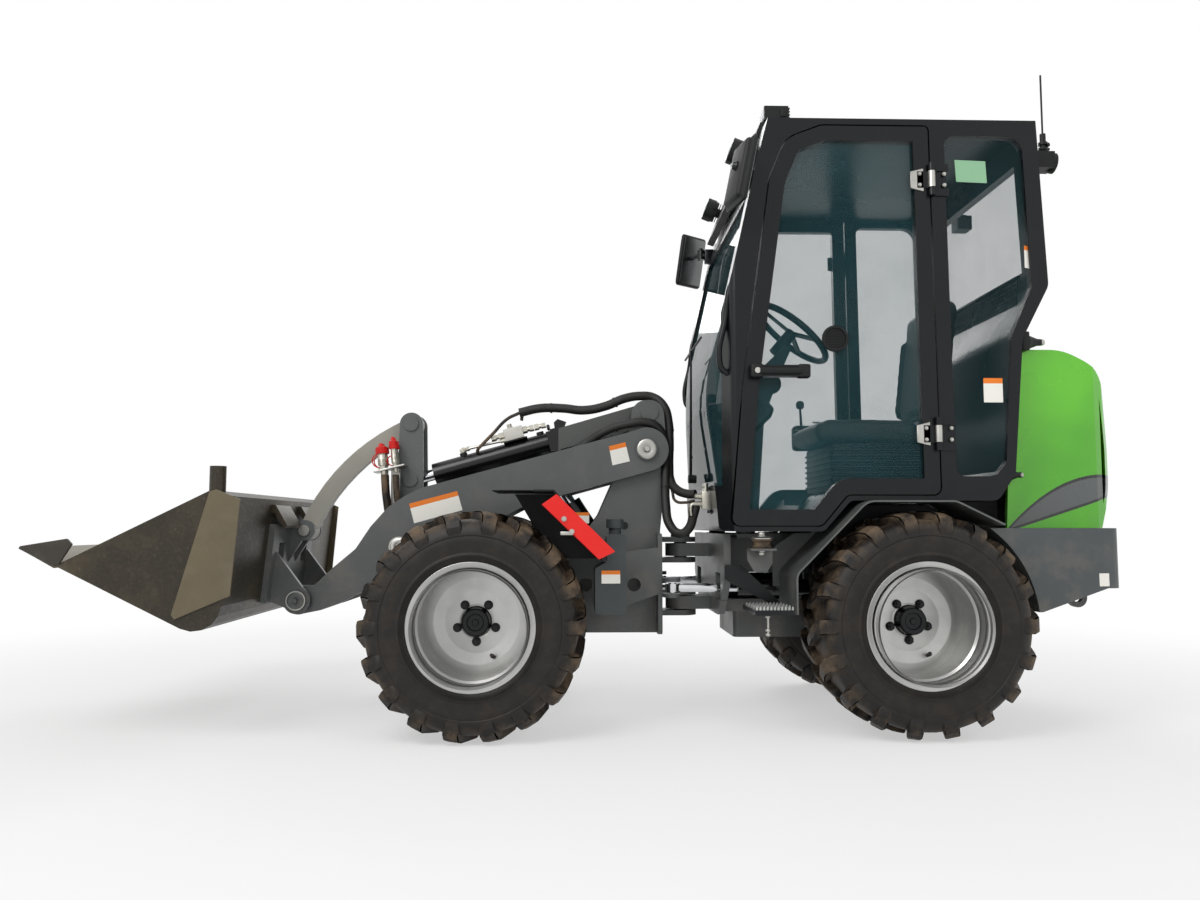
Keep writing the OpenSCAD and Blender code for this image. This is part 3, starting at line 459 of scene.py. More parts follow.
# %% Tinted glass
def tinted(name, tint, alpha, mirror=0.2, front=None):
    """Smoked glass; forward of `front` it is more opaque, a painted shade that makes the
    windscreen darker.
    """
    pane = Finish(name, mirror)
    smear = pane.noise(3.5, 4, 0.6).between(0.4, 0.75)
    opacity_with_painted_shade = smear * 0.04 + alpha
    if front is not None:
        # painted shade: forward of `front` the pane gets 0.5 more opacity, so the windscreen looks
        # darker
        opacity_with_painted_shade = opacity_with_painted_shade + (pane.axis("x") > at(front, 0, 0).x) * 0.5
    pane.set(Base_Color=pane.blend(tint, shaded(tint, 1.25), smear),
             Roughness=smear * 0.04 + 0.02, Alpha=opacity_with_painted_shade, IOR=1.45)
    return pane.material


side_glass = tinted("side_glass", colour(44, 84, 90), 0.18)
# the windscreen, forward of -300 mm, gets the painted shade: it is more opaque, and so darker
cab_glass = tinted("cab_glass", colour(36, 62, 66), 0.18, mirror=0.06, front=-300)


# %% Seat cover
def cover(name, tint):
    hide = Finish(name)
    drift = hide.noise(4, 4).between(0.3, 0.7)
    hide.set(Base_Color=hide.blend(shaded(tint, 0.7), tint, drift), Roughness=drift * 0.12 + 0.5)
    hide.bump(hide.cells(420) * 0.7 + hide.noise(900, 2) * 0.3, 0.0006, 0.45)
    return hide.material


seat_black = cover("seat_black", colour(56, 60, 60))
seat_piping = cover("seat_piping", colour(168, 170, 172))
print("materials", len(bpy.data.materials))

# %% [markdown]
# The parts of the construction model whose shape is already right keep it, and only get their
# finish. Going through the record's own slots means that no node can be forgotten. Three nodes
# share a slot with others but not their look, so they get their own finish afterwards.

# %% Finish the construction model
finish_of = {
    "frame_paint": frame_grey, "counterweight_paint": weight_grey, "black_paint": satin_black,
    "hood_green": hood_green, "tinted_glass": side_glass, "rim_silver": rim_silver,
    "pin_steel": pin_zinc, "rod_chrome": rod_chrome, "barrel_paint": barrel_black,
    "bucket_steel": bucket_bronze, "link_paint": link_grey, "black_plastic": grained_black,
    "seat_cover": seat_black, "engine_iron": engine_iron, "tyre_rubber": hose_black,
}
for part in frame["record"]["subparts"]:
    mesh = nodes[part["node"]].data
    mesh.materials.clear()
    mesh.materials.append(finish_of[part["material_slot"]])
own_finish = {"fuel_tank": tank_grey, "tilt_barrel": tilt_barrel_paint, "cab_glass": cab_glass}
for node, finish in own_finish.items():
    nodes[node].data.materials[0] = finish

# %% [markdown]
# Most additions are plates, bars and turned rings, so a few helpers make those from bmesh
# operators, and `fitted` turns a finished bmesh into a piece: it gives it a material and says
# which body carries it.


def fitted(name, bm, material, body="rear_frame", slot=None, replaces=(), smooth=35):
    bmesh.ops.remove_doubles(bm, verts=bm.verts, dist=1e-6)
    bmesh.ops.recalc_face_normals(bm, faces=bm.faces)
    thing = made_object(name, bm)
    thing.data.materials.append(material)
    if smooth:
        thing.data.shade_smooth()
        thing.data.set_sharp_from_angle(angle=math.radians(smooth))
    if body:
        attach(thing, body)
    if replaces:
        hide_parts(*replaces)
    return thing


# %% Helpers for shapes
def towards(direction):
    """A turn that takes +Z to a direction."""
    return Vector(direction).to_track_quat("Z", "Y").to_matrix().to_4x4()


def turn_by(degrees, axis="Y"):
    return Matrix.Rotation(math.radians(degrees), 4, axis)


def bar(bm, start, end, width, facets=24, tip=None):
    """A round bar between two points, or a taper when `tip` gives the far width."""
    middle, reach = (start + end) / 2, end - start
    made = bmesh.ops.create_cone(
        bm, cap_ends=True, segments=facets, radius1=width / 2000,
        radius2=(width if tip is None else tip) / 2000, depth=reach.length,
        matrix=Matrix.Translation(middle) @ towards(reach))
    return made["verts"]


def rounded_off(bm, verts, radius, segments=2, sharper_than=30):
    """Rounds the sharp edges among some vertices by a radius in millimetres."""
    chosen = set(verts)
    edges = [e for e in bm.edges if e.verts[0] in chosen and e.verts[1] in chosen
             and len(e.link_faces) == 2 and e.calc_face_angle(0) > math.radians(sharper_than)]
    bmesh.ops.bevel(bm, geom=edges, offset=radius / 1000, segments=segments, affect="EDGES",
                    profile=0.5, material=-1, clamp_overlap=True)


def brick(bm, corner, opposite, radius=0, turn=None, segments=2):
    """A box between two corners, rounded, and turned about its own middle."""
    middle = (corner + opposite) / 2
    size = [abs(length) for length in opposite - corner]
    place = Matrix.Translation(middle) @ (turn or Matrix.Identity(4))
    made = bmesh.ops.create_cube(bm, size=1, matrix=place @ Matrix.Diagonal((*size, 1)))
    if radius:
        rounded_off(bm, made["verts"], radius, segments)


def sheet_metal(bm, outline, y0, y1, radius=0):
    """An outline of (x, z) points in millimetres, cut from plate between two widths."""
    face = bm.faces.new([bm.verts.new(at(x, y0, z)) for x, z in outline])
    grown = bmesh.ops.extrude_face_region(bm, geom=[face])["geom"]
    far = [v for v in grown if isinstance(v, bmesh.types.BMVert)]
    bmesh.ops.translate(bm, verts=far, vec=(0, (y1 - y0) / 1000, 0))
    if radius:
        rounded_off(bm, far + list(face.verts), radius, 1)


def turned(bm, profile, centre, axis, steps=32):
    """A profile of (along, radius) points in millimetres, spun round an axis through centre."""
    turn = towards(axis)
    spots = [centre + turn @ Vector((r / 1000, 0, a / 1000)) for a, r in profile]
    verts = [bm.verts.new(p) for p in spots]
    edges = [bm.edges.new(pair) for pair in zip(verts, verts[1:])]
    bmesh.ops.spin(bm, geom=verts + edges, cent=centre, axis=axis, dvec=(0, 0, 0),
                   angle=math.tau, steps=steps, use_merge=True, use_duplicate=False)


def hexagon(bm, centre, direction, across, height, washer=True):
    """A hexagon nut or bolt head on a washer."""
    out = Vector(direction).normalized()
    lift = 0.003 if washer else 0
    if washer:
        bar(bm, centre, centre + out * lift, across * 1.35, 20)
    start = centre + out * lift
    verts = bar(bm, start, start + out * height / 1000, across * 1.12, 6)
    rounded_off(bm, verts, across * 0.05, 1)


def swept(name, points, width, material, body="rear_frame", ring=8, **more):
    """A tube of a width in millimetres that curves smoothly through points."""
    curve = bpy.data.curves.new(name, "CURVE")
    curve.dimensions = "3D"
    curve.bevel_depth, curve.bevel_resolution = width / 2000, ring // 2
    curve.use_fill_caps = True
    spline = curve.splines.new("BEZIER")
    spline.bezier_points.add(len(points) - 1)
    for knot, point in zip(spline.bezier_points, points):
        knot.co = point
        knot.handle_left_type = knot.handle_right_type = "AUTO"
    spline.resolution_u = 10
    holder = bpy.data.objects.new(name, curve)
    bpy.context.scene.collection.objects.link(holder)
    mesh = bpy.data.meshes.new_from_object(
        holder.evaluated_get(bpy.context.evaluated_depsgraph_get()))
    bpy.data.objects.remove(holder)
    bm = bmesh.new()
    bm.from_mesh(mesh)
    bpy.data.meshes.remove(mesh)
    return fitted(name, bm, material, body, **more) if material else bm


print("a quarter turn about Y takes Z to", [round(v) for v in turn_by(90) @ Vector((0, 0, 1))])

# %% [markdown]
# Tyres. A skid tyre has a smooth casing and tall angled lugs that wrap over the shoulder. The
# casing is one profile spun round the axle. Each lug is one cross section extruded from station
# to station, from the middle of the tread out over the shoulder, and the ring of lugs is that
# one lug turned again and again. Displacing a texture would not give such deep, sharp edges.

# %% Casing profile and lug stations
casing = [(-124, 200.6), (-139, 211), (-150, 224), (-153, 232), (-156.5, 236), (-156.5, 242),
          (-154.5, 246), (-157, 262), (-159, 280), (-159, 292), (-157, 300), (-159.2, 303),
          (-159.2, 309), (-155, 320), (-148, 336), (-136, 348), (-116, 354), (-60, 358), (0, 359)]
casing = casing + [(-a, r) for a, r in reversed(casing[:-1])] + [(-124, 200.6)]
# Each station: axial and radial place on the casing, the same on the lug's top, arc, half width
lug_stations = [
    ((12, 350), (12, 382), -6, 15), ((-14, 350), (-14, 385), 4, 21),
    ((-62, 348), (-62, 385), 30, 23), ((-100, 344), (-103, 383.5), 49, 26),
    ((-126, 338), (-136, 374), 60, 29), ((-140, 324), (-152, 356), 64, 30),
    ((-147, 306), (-159.6, 334), 64, 29), ((-151, 292), (-159.8, 306), 64, 24)]
lug_count, lug_draft, arc_radius = 18, 3, 365


def lug(bm, hub, outside, start):
    """One lug on the left (1) or right (-1) half of the tread, at a start angle."""
    def spot(place, arc):
        angle = start - arc / arc_radius
        along, reach = place
        return hub + Vector((math.sin(angle) * reach, -outside * along,
                             math.cos(angle) * reach)) / 1000

    def ring(station):
        low, top, middle, half = station
        wide, narrow = half + lug_draft, half - lug_draft
        return [spot(low, middle - wide), spot(low, middle + wide),
                spot(top, middle + narrow), spot(top, middle - narrow)]

    face = bm.faces.new([bm.verts.new(p) for p in ring(lug_stations[0])])
    verts = list(face.verts)
    for station in lug_stations[1:]:
        grown = bmesh.ops.extrude_face_region(bm, geom=[face])["geom"]
        face = [g for g in grown if isinstance(g, bmesh.types.BMFace)][0]
        for vert, point in zip(face.verts, ring(station)):
            vert.co = point
        verts += list(face.verts)
    return verts


def tyre(corner, side):
    centre = joint_at(corner + "_roll", side * 480)
    bm = bmesh.new()
    turned(bm, casing, centre, (0, 1, 0), 96)
    for outside, offset in ((1, 0), (-1, 0.5)):
        for i in range(lug_count):
            turn = math.tau * (i + offset) / lug_count
            rounded_off(bm, lug(bm, centre, outside, turn), 3.5, 1, 40)
    return fitted(corner + "_tread", bm, rubber(corner + "_rubber", centre), corner + "_wheel",
                  "tyre_rubber", [corner + "_tyre"], 30)


corners = {"front_left": 1, "front_right": -1, "rear_left": 1, "rear_right": -1}
for corner, side in corners.items():
    print(corner, "tread faces", len(tyre(corner, side).data.polygons))

# %% [markdown]
# Wheel hardware. Each wheel is held by five nuts on studs round a dust cap. The rim also has its
# valve and raised rings where the disc is pressed. All of it is turned or stamped, so it is spun
# or capped with hexagons, and it rolls with the wheel.

# %% Nuts, dust cap, rings and valve
disc_y, nut_circle, valve_circle = 415, 0.070, 0.150


def wheel_hardware(corner, side):
    centre = joint_at(corner + "_roll", side * disc_y)
    out, wheel = Vector((0, side, 0)), corner + "_wheel"
    bm = bmesh.new()
    for i in range(5):
        angle = -side * math.radians(18 + 72 * i)
        foot = centre + Vector((math.cos(angle), 0, math.sin(angle))) * nut_circle
        hexagon(bm, foot, out, 24, 14)
        bar(bm, foot, foot + out * 0.024, 13, 16)
    fitted(corner + "_nuts", bm, satin_black, wheel, "pin_steel")
    bm = bmesh.new()
    turned(bm, [(2, 0), (2, 54), (8, 54), (10, 51), (30, 50.5), (46, 48), (50, 44), (50, 30),
                (46, 27), (46, 12), (50, 10), (50, 0)], centre, out, 48)
    fitted(corner + "_dust_cap", bm, satin_black, wheel)
    bm = bmesh.new()
    for inner, outer, depth in ((70, 150, 8), (196, 214, 4), (236, 270, 5)):
        turned(bm, [(inner, 193), (inner + 8, 192 - depth), (outer - 8, 192 - depth),
                    (outer, 193)], centre, out, 72)
    fitted(corner + "_rings", bm, rim_silver, wheel)
    bm = bmesh.new()
    angle = math.radians(90 - 27 * side) + math.pi
    spoke = Vector((math.cos(angle), 0, math.sin(angle)))
    foot = centre + spoke * valve_circle
    bend, tip = foot + out * 0.035 - spoke * 0.02, foot + out * 0.05 - spoke * 0.026
    bar(bm, foot, foot + out * 0.006, 36, 24, 28)
    bar(bm, foot - spoke * 0.01, bend, 13, 16)
    bar(bm, bend, tip, 16, 16, 12)
    fitted(corner + "_valve", bm, hose_black, wheel)


for corner, side in corners.items():
    wheel_hardware(corner, side)
print("wheel hardware on", len(corners), "wheels")

# %% [markdown]
# Pins. Every pin of the boom and the linkage ends in a cap, and the big ones are held by one
# screw in their middle. They are small but they are the first thing that tells a joint from a
# drawn circle.

# %% Pin caps
def pin_cap(name, place, side, width, body, thickness=7, finish=pin_zinc, screw=True):
    out = Vector((0, side, 0))
    bm = bmesh.new()
    turned(bm, [(0, 0), (0, width / 2), (thickness - 2, width / 2), (thickness, width / 2 - 3),
                (thickness, width / 4), (thickness - 2, width / 5), (thickness - 2, 0)],
           place, out, 48)
    if screw:
        start = place + out * (thickness - 2) / 1000
        rounded_off(bm, bar(bm, start, start + out * 0.010, width * 0.30, 6), 1, 1)
    fitted(name, bm, finish, body, "pin_steel")


pin_ends = [
    ("boom_pin_cap_", "boom_lift", 202, 76, "front_frame", {}),
    ("tilt_pin_cap_", "tilt_barrel_turn", 151.4, 70, "front_frame",
     {"thickness": 5, "screw": False}),
    ("lever_pin_cap_", "lever_turn", 202, 66, "lever_pin", {}),
    ("coupler_pin_cap_", "bucket_tilt", 230, 62, "coupler_pin", {"finish": frame_grey})]
for word, side in sides.items():
    for name, joint, y, width, body, more in pin_ends:
        pin_cap(name + word, joint_at(joint, side * y), side, width, body, **more)
print("pin caps", 2 * len(pin_ends))

# %% [markdown]
# Cab trim on the doors. The panes are glued on from outside, so the door is all glass with a
# black border. On it sit a moulded pull handle with its lock, a round vent, and at the back two
# plated strap hinges. The right door is the mirror image, so everything is made for a side.

# %% Door fittings
cab_y = 545
handle_z, hinge_x, hinge_heights = 1252, -838, (1037, 1942)
vent_radius, slat_pitch = 34, 9


def door_fittings(word, side):
    body = "door_" + word
    out = Vector((0, side, 0))
    y0, y1, grip_y = side * cab_y, side * (cab_y + 38), side * (cab_y + 30)
    bm = bmesh.new()
    for x in (-205, -368):
        brick(bm, at(x - 22, y0, handle_z - 24), at(x + 22, y1, handle_z + 24), 8, segments=3)
    bar(bm, at(-360, grip_y, handle_z), at(-213, grip_y, handle_z), 30)
    fitted(body + "_handle", bm, grained_black, body)
    bm = bmesh.new()
    bar(bm, at(-205, y1, handle_z), at(-205, side * (cab_y + 41), handle_z), 20)
    for z in hinge_heights:
        for x in (hinge_x - 46, hinge_x + 42):
            for up in (-20, 20):
                hexagon(bm, at(x, side * (cab_y + 7), z + up), out, 10, 5)
    fitted(body + "_screws", bm, pin_zinc, body)
    bm = bmesh.new()
    for z in hinge_heights:
        sheet_metal(bm, [(-812, z - 42), (-764, z - 30), (-764, z + 30), (-812, z + 42)],
                    y0, side * (cab_y + 6), 2)
        bar(bm, at(hinge_x, side * 557, z - 29), at(hinge_x, side * 557, z + 29), 25, 20)
    fitted(body + "_straps", bm, pin_zinc, body)
    # Round vent: a ring, a dished face and slats across it
    bm = bmesh.new()
    middle = at(-488, side * 531, 1372)
    turned(bm, [(0, 46), (8, 47), (11, 44), (11, 38), (6, 36), (6, 0), (0, 0)], middle, out, 48)
    for i in range(-3, 4):
        height = i * slat_pitch
        half = math.sqrt(vent_radius ** 2 - height ** 2) / 1000
        brick(bm, middle + Vector((-half, 0, height / 1000 - 0.002)) + out * 0.006,
              middle + Vector((half, 0, height / 1000 + 0.002)) + out * 0.009, 0.8, segments=1)
    fitted(body + "_vent", bm, grained_black, body)


for word, side in sides.items():
    door_fittings(word, side)
print("door fittings on", len(sides), "doors")

# %% [markdown]
# Round the cab. A steel loop at each front post helps the driver climb in, and a wiper lies on
# the windscreen. Tubes are made by sweeping: a round bevel along a curve, which becomes a mesh
# once it is shaped.

# %% Grab loops and wiper
for word, side in sides.items():
    loop = [(-150, 500, 1250), (-98, 508, 1262), (-84, 510, 1300), (-106, 510, 1440),
            (-138, 508, 1590), (-160, 500, 1612), (-205, 500, 1604)]
    swept("grab_loop_" + word, [at(x, side * y, z) for x, y, z in loop], 22, satin_black)
bm = bmesh.new()
bar(bm, at(-66, 0, 905), at(-34, 0, 905), 34)
bar(bm, at(-44, 0, 905), at(-44, 40, 1420), 12, 12, 8)
brick(bm, at(-52, -190, 1416), at(-44, 310, 1424), 3)
fitted("wiper", bm, grained_black)
print("grab loops", len(sides), "and a wiper")

# %% [markdown]
# The mirrors hang on bent arms from the front posts. Each is a shallow moulded shell with
# rounded corners and a glass set into its back. The shell is a rounded box that narrows towards
# the front, and the right one is turned further in, to be seen from the seat.

# %% Mirrors
def mirror(word, side, x, z, yaw):
    """A shell and its glass, turned towards the driver by yaw and leaning with the post."""
    lean = turn_by(side * yaw, "Z") @ turn_by(-12)
    set_in_place = Matrix.Translation(at(x, side * 645, z)) @ lean
    bm = bmesh.new()
    brick(bm, Vector((-0.019, -0.078, -0.120)), Vector((0.019, 0.078, 0.120)), 15, segments=4)
    front = [v for v in bm.verts if v.co.x > 0]
    bmesh.ops.scale(bm, verts=front, vec=(1, 0.84, 0.9))
    bmesh.ops.transform(bm, matrix=set_in_place, verts=bm.verts)
    shell = fitted("mirror_shell_" + word, bm, grained_black)
    bm = bmesh.new()
    brick(bm, Vector((-0.0205, -0.067, -0.108)), Vector((-0.018, 0.067, 0.108)), 1)
    bmesh.ops.transform(bm, matrix=set_in_place, verts=bm.verts)
    fitted("mirror_face_" + word, bm, mirror_silver)
    back, elbow = set_in_place @ Vector((0.018, 0, 0.02)), (-165, side * 520)
    swept("mirror_arm_" + word, [at(-205, side * 485, 1955), at(*elbow, 1972),
                                 at(-128, side * 575, 1972), back], 18, satin_black)
    bm = bmesh.new()
    brick(bm, at(-226, side * 492 - 16, 1925), at(-178, side * 492 + 16, 1990), 4)
    bar(bm, at(*elbow, 1950), at(*elbow, 1994), 34)
    hexagon(bm, at(*elbow, 1994), (0, 0, 1), 17, 8)
    turned(bm, [(-16, 0), (-14, 12), (0, 19), (14, 12), (16, 0)], back, (1, 0, 0.2), 24)
    fitted("mirror_clamp_" + word, bm, satin_black)
    return shell


left_shell = mirror("left", 1, -140, 1922, 12)
mirror("right", -1, -128, 1976, 52)
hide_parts("mirrors")
print("mirrors hang at", round(left_shell.dimensions.z * 1000), "mm tall")

# %% [markdown]
# Lamps. The flood lamps on the roof and the round ones on the visor are black shells with a
# clear lens. The lenses are thin turned or boxed caps just proud of the shells, with ribs on
# the flood lamps and cooling fins behind them.

# %% Lamp lenses
roof_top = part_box("cab_roof")[1][2] * 1000
lens_low, lens_high, flood_y = roof_top + 14, roof_top + 58, 355
visor = (at(-265, 0, 2215) - at(-175, 0, 1985)).normalized()
visor_out = Vector((visor.z, 0, -visor.x))
headlamp = at(-175, 0, 1985) + visor * 0.130 + visor_out * 0.063
for word, side in sides.items():
    y = side * flood_y
    bm = bmesh.new()
    brick(bm, at(-283, y - 34, lens_low), at(-277, y + 34, lens_high), 2)
    for rib in range(-27, 28, 9):
        brick(bm, at(-278, y + rib - 2, lens_low + 3), at(-275, y + rib + 2, lens_high - 3), 0.8)
    fitted("flood_lens_" + word, bm, lamp_white)
    bm = bmesh.new()
    centre = headlamp + Vector((0, side * 0.330, 0))
    turned(bm, [(-2, 40), (3, 40), (7, 33), (10, 18), (11, 0)], centre, visor_out, 40)
    fitted("head_lens_" + word, bm, lamp_white)
    bm = bmesh.new()
    turned(bm, [(-34, 44), (-34, 49), (4, 49), (5, 41), (0, 40)], centre, visor_out, 40)
    for fin in (-56, -48, -40):
        turned(bm, [(fin, 30), (fin, 43), (fin + 3, 43), (fin + 3, 30)], centre, visor_out, 40)
    hinge = centre - visor_out * 0.03
    for way in (-1, 1):
        bar(bm, hinge + Vector((0, way * 0.046, 0)), hinge + Vector((0, way * 0.056, 0)), 14, 16)
    fitted("head_bezel_" + word, bm, grained_black)
    bm = bmesh.new()
    for fin in range(4, 41, 12):
        z = lens_low + fin
        brick(bm, at(-376, y - 38, z - 2.5), at(-366, y + 38, z + 2.5), 1)
    for near, far in ((-44, -39), (39, 44)):
        brick(bm, at(-364, y + near, roof_top + 20), at(-340, y + far, roof_top + 50), 2)
    fitted("flood_fins_" + word, bm, grained_black)
print("lamps on each side 2, roof top at", round(roof_top))

# %% [markdown]
# Hydraulics on the tilt cylinder. A machined block sits on the barrel, a steel pipe runs from it
# to the port at the rod end, and hex fittings join it to the hoses. All of it is laid out in the
# cylinder's own directions, along and up from its base pin, so it follows the cylinder's slope.

# %% Block, pipe and fittings
tilt_axis = Vector(joints["tilt_rod_slide"]["axis"]).normalized()
tilt_up = Vector((-tilt_axis.z, 0, tilt_axis.x))
tilt_turn = turn_by(math.degrees(math.atan2(-tilt_axis.z, tilt_axis.x)))
port_x = 746


def on_tilt(along, y, up):
    return joint_at("tilt_barrel_turn", y) + (tilt_axis * along + tilt_up * up) / 1000


def turned_brick(bm, middle, size, radius, turn=tilt_turn):
    half = Vector(size) / 2000
    brick(bm, middle - half, middle + half, radius, turn)


def fitting(bm, start, end, width):
    """A hydraulic union between two points: hexagon, collar, hexagon."""
    reach = end - start
    bar(bm, start, start + reach * 0.4, width * 1.15, 6)
    bar(bm, start + reach * 0.4, start + reach * 0.62, width * 0.8, 20)
    bar(bm, start + reach * 0.62, end, width, 6)


bm = bmesh.new()
turned_brick(bm, on_tilt(531, 25, 70), (76, 52, 48), 3)
for along, up in ((510, 82), (552, 56.8)):
    bar(bm, on_tilt(along, 51, up), on_tilt(along, 53, up), 9, 20)
fitted("tilt_valve_block", bm, block_white, "tilt_barrel")
bm = bmesh.new()
turned_brick(bm, on_tilt(531, 12, 44.5), (96, 50, 6), 1)
for along in (port_x, 430):
    bar(bm, on_tilt(along, 0, 40), on_tilt(along, 0, 52), 30)
sheet_metal(bm, [(498, 1080), (470, 1084), (455, 1128), (490, 1140), (505, 1126)], 56, 60, 1)
bar(bm, on_tilt(392, 20, 52), on_tilt(392, 58, 60), 14, 16)
fitted("tilt_ports", bm, barrel_black, "tilt_barrel")
bm = bmesh.new()
unions = [((569, 25, 74), (622, 25, 74), 24), ((493, 25, 74), (448, 25, 72), 26),
          ((446, 25, 72), (400, 25, 70), 22), ((569, 34, 54), (590, 34, 54), 17),
          ((716, 30, 60), (736, 20, 60), 17), ((540, 25, 93), (540, 25, 112), 20)]
for start, end, width in unions:
    fitting(bm, on_tilt(*start), on_tilt(*end), width)
bar(bm, on_tilt(port_x, 0, 50), on_tilt(port_x, 0, 68), 22, 6)
bar(bm, on_tilt(port_x, -4, 62), on_tilt(740, 22, 62), 20, 20)
fitted("tilt_unions", bm, brass_fitting, "tilt_barrel", smooth=30)
swept("tilt_pipe", [on_tilt(588, 34, 54), on_tilt(640, 34, 57), on_tilt(718, 29, 60)], 11,
      pin_zinc, "tilt_barrel")
print("tilt hydraulics along", [round(v, 3) for v in tilt_axis], "with", len(unions), "unions")

# %% [markdown]
# Hoses. The bundles that feed the boom are wrapped in woven sleeve, so they read as thick black
# ropes with a tie here and there. A bundle that crosses two joints is made from two pieces that
# meet in a clamp on the tower; each piece is given the two bodies of one joint, and rides on
# neither of them.

# %% Hoses along the boom and across joints
def hose(name, points, width, bodies, start=None, end=None, material=sleeve_black, ties=()):
    """A hose on one body; given two bodies, it is left in place on neither."""
    bm = swept(name, [at(*p) for p in points], width, None, ring=10)
    for place, along in ties:
        middle, way = at(*place), Vector(along).normalized() / 1000
        bar(bm, middle - way * 4, middle + way * 4, width + 5)
    body = bodies if isinstance(bodies, str) else None
    thing = fitted(name, bm, material, body, "black_plastic", smooth=60)
    if body is None:
        tuple(at(*start))
        tuple(at(*end))
        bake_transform(thing)


crossing = ("front_frame", "rear_frame")
hose("upper_bundle", [
    (642, 40, 1166), (560, 42, 1184), (470, 45, 1184), (385, 50, 1176), (300, 55, 1192),
    (225, 60, 1222), (160, 64, 1232), (110, 74, 1224), (72, 94, 1186), (56, 114, 1120),
    (54, 122, 1060), (54, 124, 1010)], 36, ("tilt_barrel", "front_frame"),
    (250, 60, 1220), (72, 94, 1200),
    ties=[((515, 43, 1185), (1, 0, 0)), ((262, 57, 1207), (1, 0, -0.4)),
          ((55, 118, 1090), (0, 0, 1))])
hose("upper_bundle_tail", [
    (54, 124, 1010), (56, 134, 950), (54, 156, 895), (36, 192, 858), (-4, 234, 838),
    (-30, 250, 838)], 34, crossing, (54, 124, 1005), (-10, 232, 842))
hose("boom_bundle", [
    (500, 128, 965), (440, 128, 1000), (383, 130, 1034), (301, 152, 1084), (225, 168, 1108),
    (150, 172, 1116), (104, 164, 1098), (76, 148, 1050), (70, 142, 985)], 32,
    ("boom", "front_frame"), (260, 165, 1100), (100, 165, 1090),
    ties=[((265, 160, 1097), (1, 0, -0.35)), ((72, 144, 1020), (0, 0, 1))])
hose("boom_bundle_tail", [
    (70, 142, 985), (74, 166, 903), (76, 196, 800), (64, 226, 722), (28, 254, 690),
    (0, 266, 706), (-20, 270, 760), (-30, 270, 796)], 34, crossing,
    (70, 144, 980), (-5, 266, 720), ties=[((75, 176, 870), (0, -0.25, 1))])
hose("tower_lead", [
    (64, 140, 1000), (62, 150, 930), (50, 186, 850), (40, 215, 812), (6, 240, 806),
    (-24, 262, 812)], 11, crossing, (64, 142, 995), (-5, 245, 806), hose_black)
hose("block_lead", [
    (640, 40, 1166), (690, 44, 1140), (745, 46, 1082), (785, 46, 1040), (806, 36, 1016),
    (800, 16, 1004), (770, 6, 1006)], 13, "tilt_barrel", material=hose_black)
hose("block_lead_short", [(560, 40, 1182), (600, 34, 1176), (628, 30, 1160), (634, 27, 1136)],
     13, "tilt_barrel", material=hose_black)
bm = bmesh.new()
brick(bm, at(56, 106, 992), at(85, 157, 1000), 2)
bar(bm, at(79, 132, 984), at(79, 132, 1010), 10, 6)
fitted("hose_clamp", bm, satin_black, "front_frame")

# %% [markdown]
# Valve cluster. Where the hoses reach the rear frame they screw into a small steel block under
# the cab: hexagons, elbows and caps, all plated. Elbows are swept along an arc.

# %% Valve cluster
bm = bmesh.new()
brick(bm, at(-84, 244, 780), at(-48, 300, 846), 3)
for y in (258, 286):
    fitting(bm, at(-64, y, 846), at(-64, y, 876), 20)
for z in (800, 828):
    for y in (256, 286):
        fitting(bm, at(-48, y, z), at(-24, y, z), 18)
fitted("frame_valve", bm, brass_fitting, smooth=30)
for i, y in enumerate((256, 286)):
    swept(f"frame_elbow_{i}", [at(x, y, z) for x, z in
                               ((-26, 800), (-12, 796), (-8, 780), (-10, 756))],
          14, brass_fitting)
bm = bmesh.new()
brick(bm, at(-98, 236, 762), at(-82, 306, 868), 2)
for y in (246, 296):
    for z in (772, 858):
        hexagon(bm, at(-82, y, z), (1, 0, 0), 10, 5)
fitted("frame_valve_plate", bm, satin_black)
print("unions and elbows on the valve:", 6 + 2)

# %% [markdown]
# Quick couplings. Four couplings stand on a plate beside the lever, for tools that need oil.
# Each has a knurled sleeve and a red rubber cap, three of them on a strap. A strap is a swept
# ring, and the knurl is a turned profile with fine grooves.

# %% Quick couplings
lean = Vector((0.12, 0, 1)).normalized()
couplings = [(1158, 128, 940, 36, 96), (1112, 128, 950, 26, 112),
             (1158, 92, 940, 36, 96), (1112, 92, 950, 26, 112)]
steel, red = bmesh.new(), bmesh.new()
for x, y, z, width, tall in couplings:
    foot = at(x, y, z)
    knurl = [(9 + i * 2, width * (0.47 if i % 2 else 0.5)) for i in range(1, 14)]
    turned(steel, [(-26, 0), (-26, width * 0.3), (-10, width * 0.34), (-8, width * 0.5),
                   (0, width * 0.5), (0, width * 0.36), (8, width * 0.36), (9, width * 0.47)]
           + knurl + [(tall * 0.62, width * 0.42), (tall * 0.62, 0)], foot, lean)
    turned(red, [(tall * 0.58, width * 0.44), (tall * 0.58, width * 0.62),
                 (tall * 0.66, width * 0.64), (tall * 0.84, width * 0.60),
                 (tall * 0.88, width * 0.3), (tall, width * 0.16), (tall, 0)], foot, lean)
fitted("coupling_sleeves", steel, brass_fitting, "boom", smooth=30)
fitted("coupling_caps", red, cap_red, "boom")
for i, (x, y, r) in enumerate(((1174, 128, 26), (1124, 128, 18), (1174, 92, 26))):
    turns = [math.radians(v) for v in range(-150, 151, 30)]
    swept(f"cap_strap_{i}", [at(x + r * math.cos(a), y + 8 * math.sin(a), 968 + r * math.sin(a))
                             for a in turns], 4.5, cap_red, "boom")
bm = bmesh.new()
turned_brick(bm, at(1132, 110, 938), (120, 82, 7), 2, turn_by(14))
sheet_metal(bm, [(1100, 760), (1136, 752), (1136, 936), (1100, 945)], 76, 82, 1)
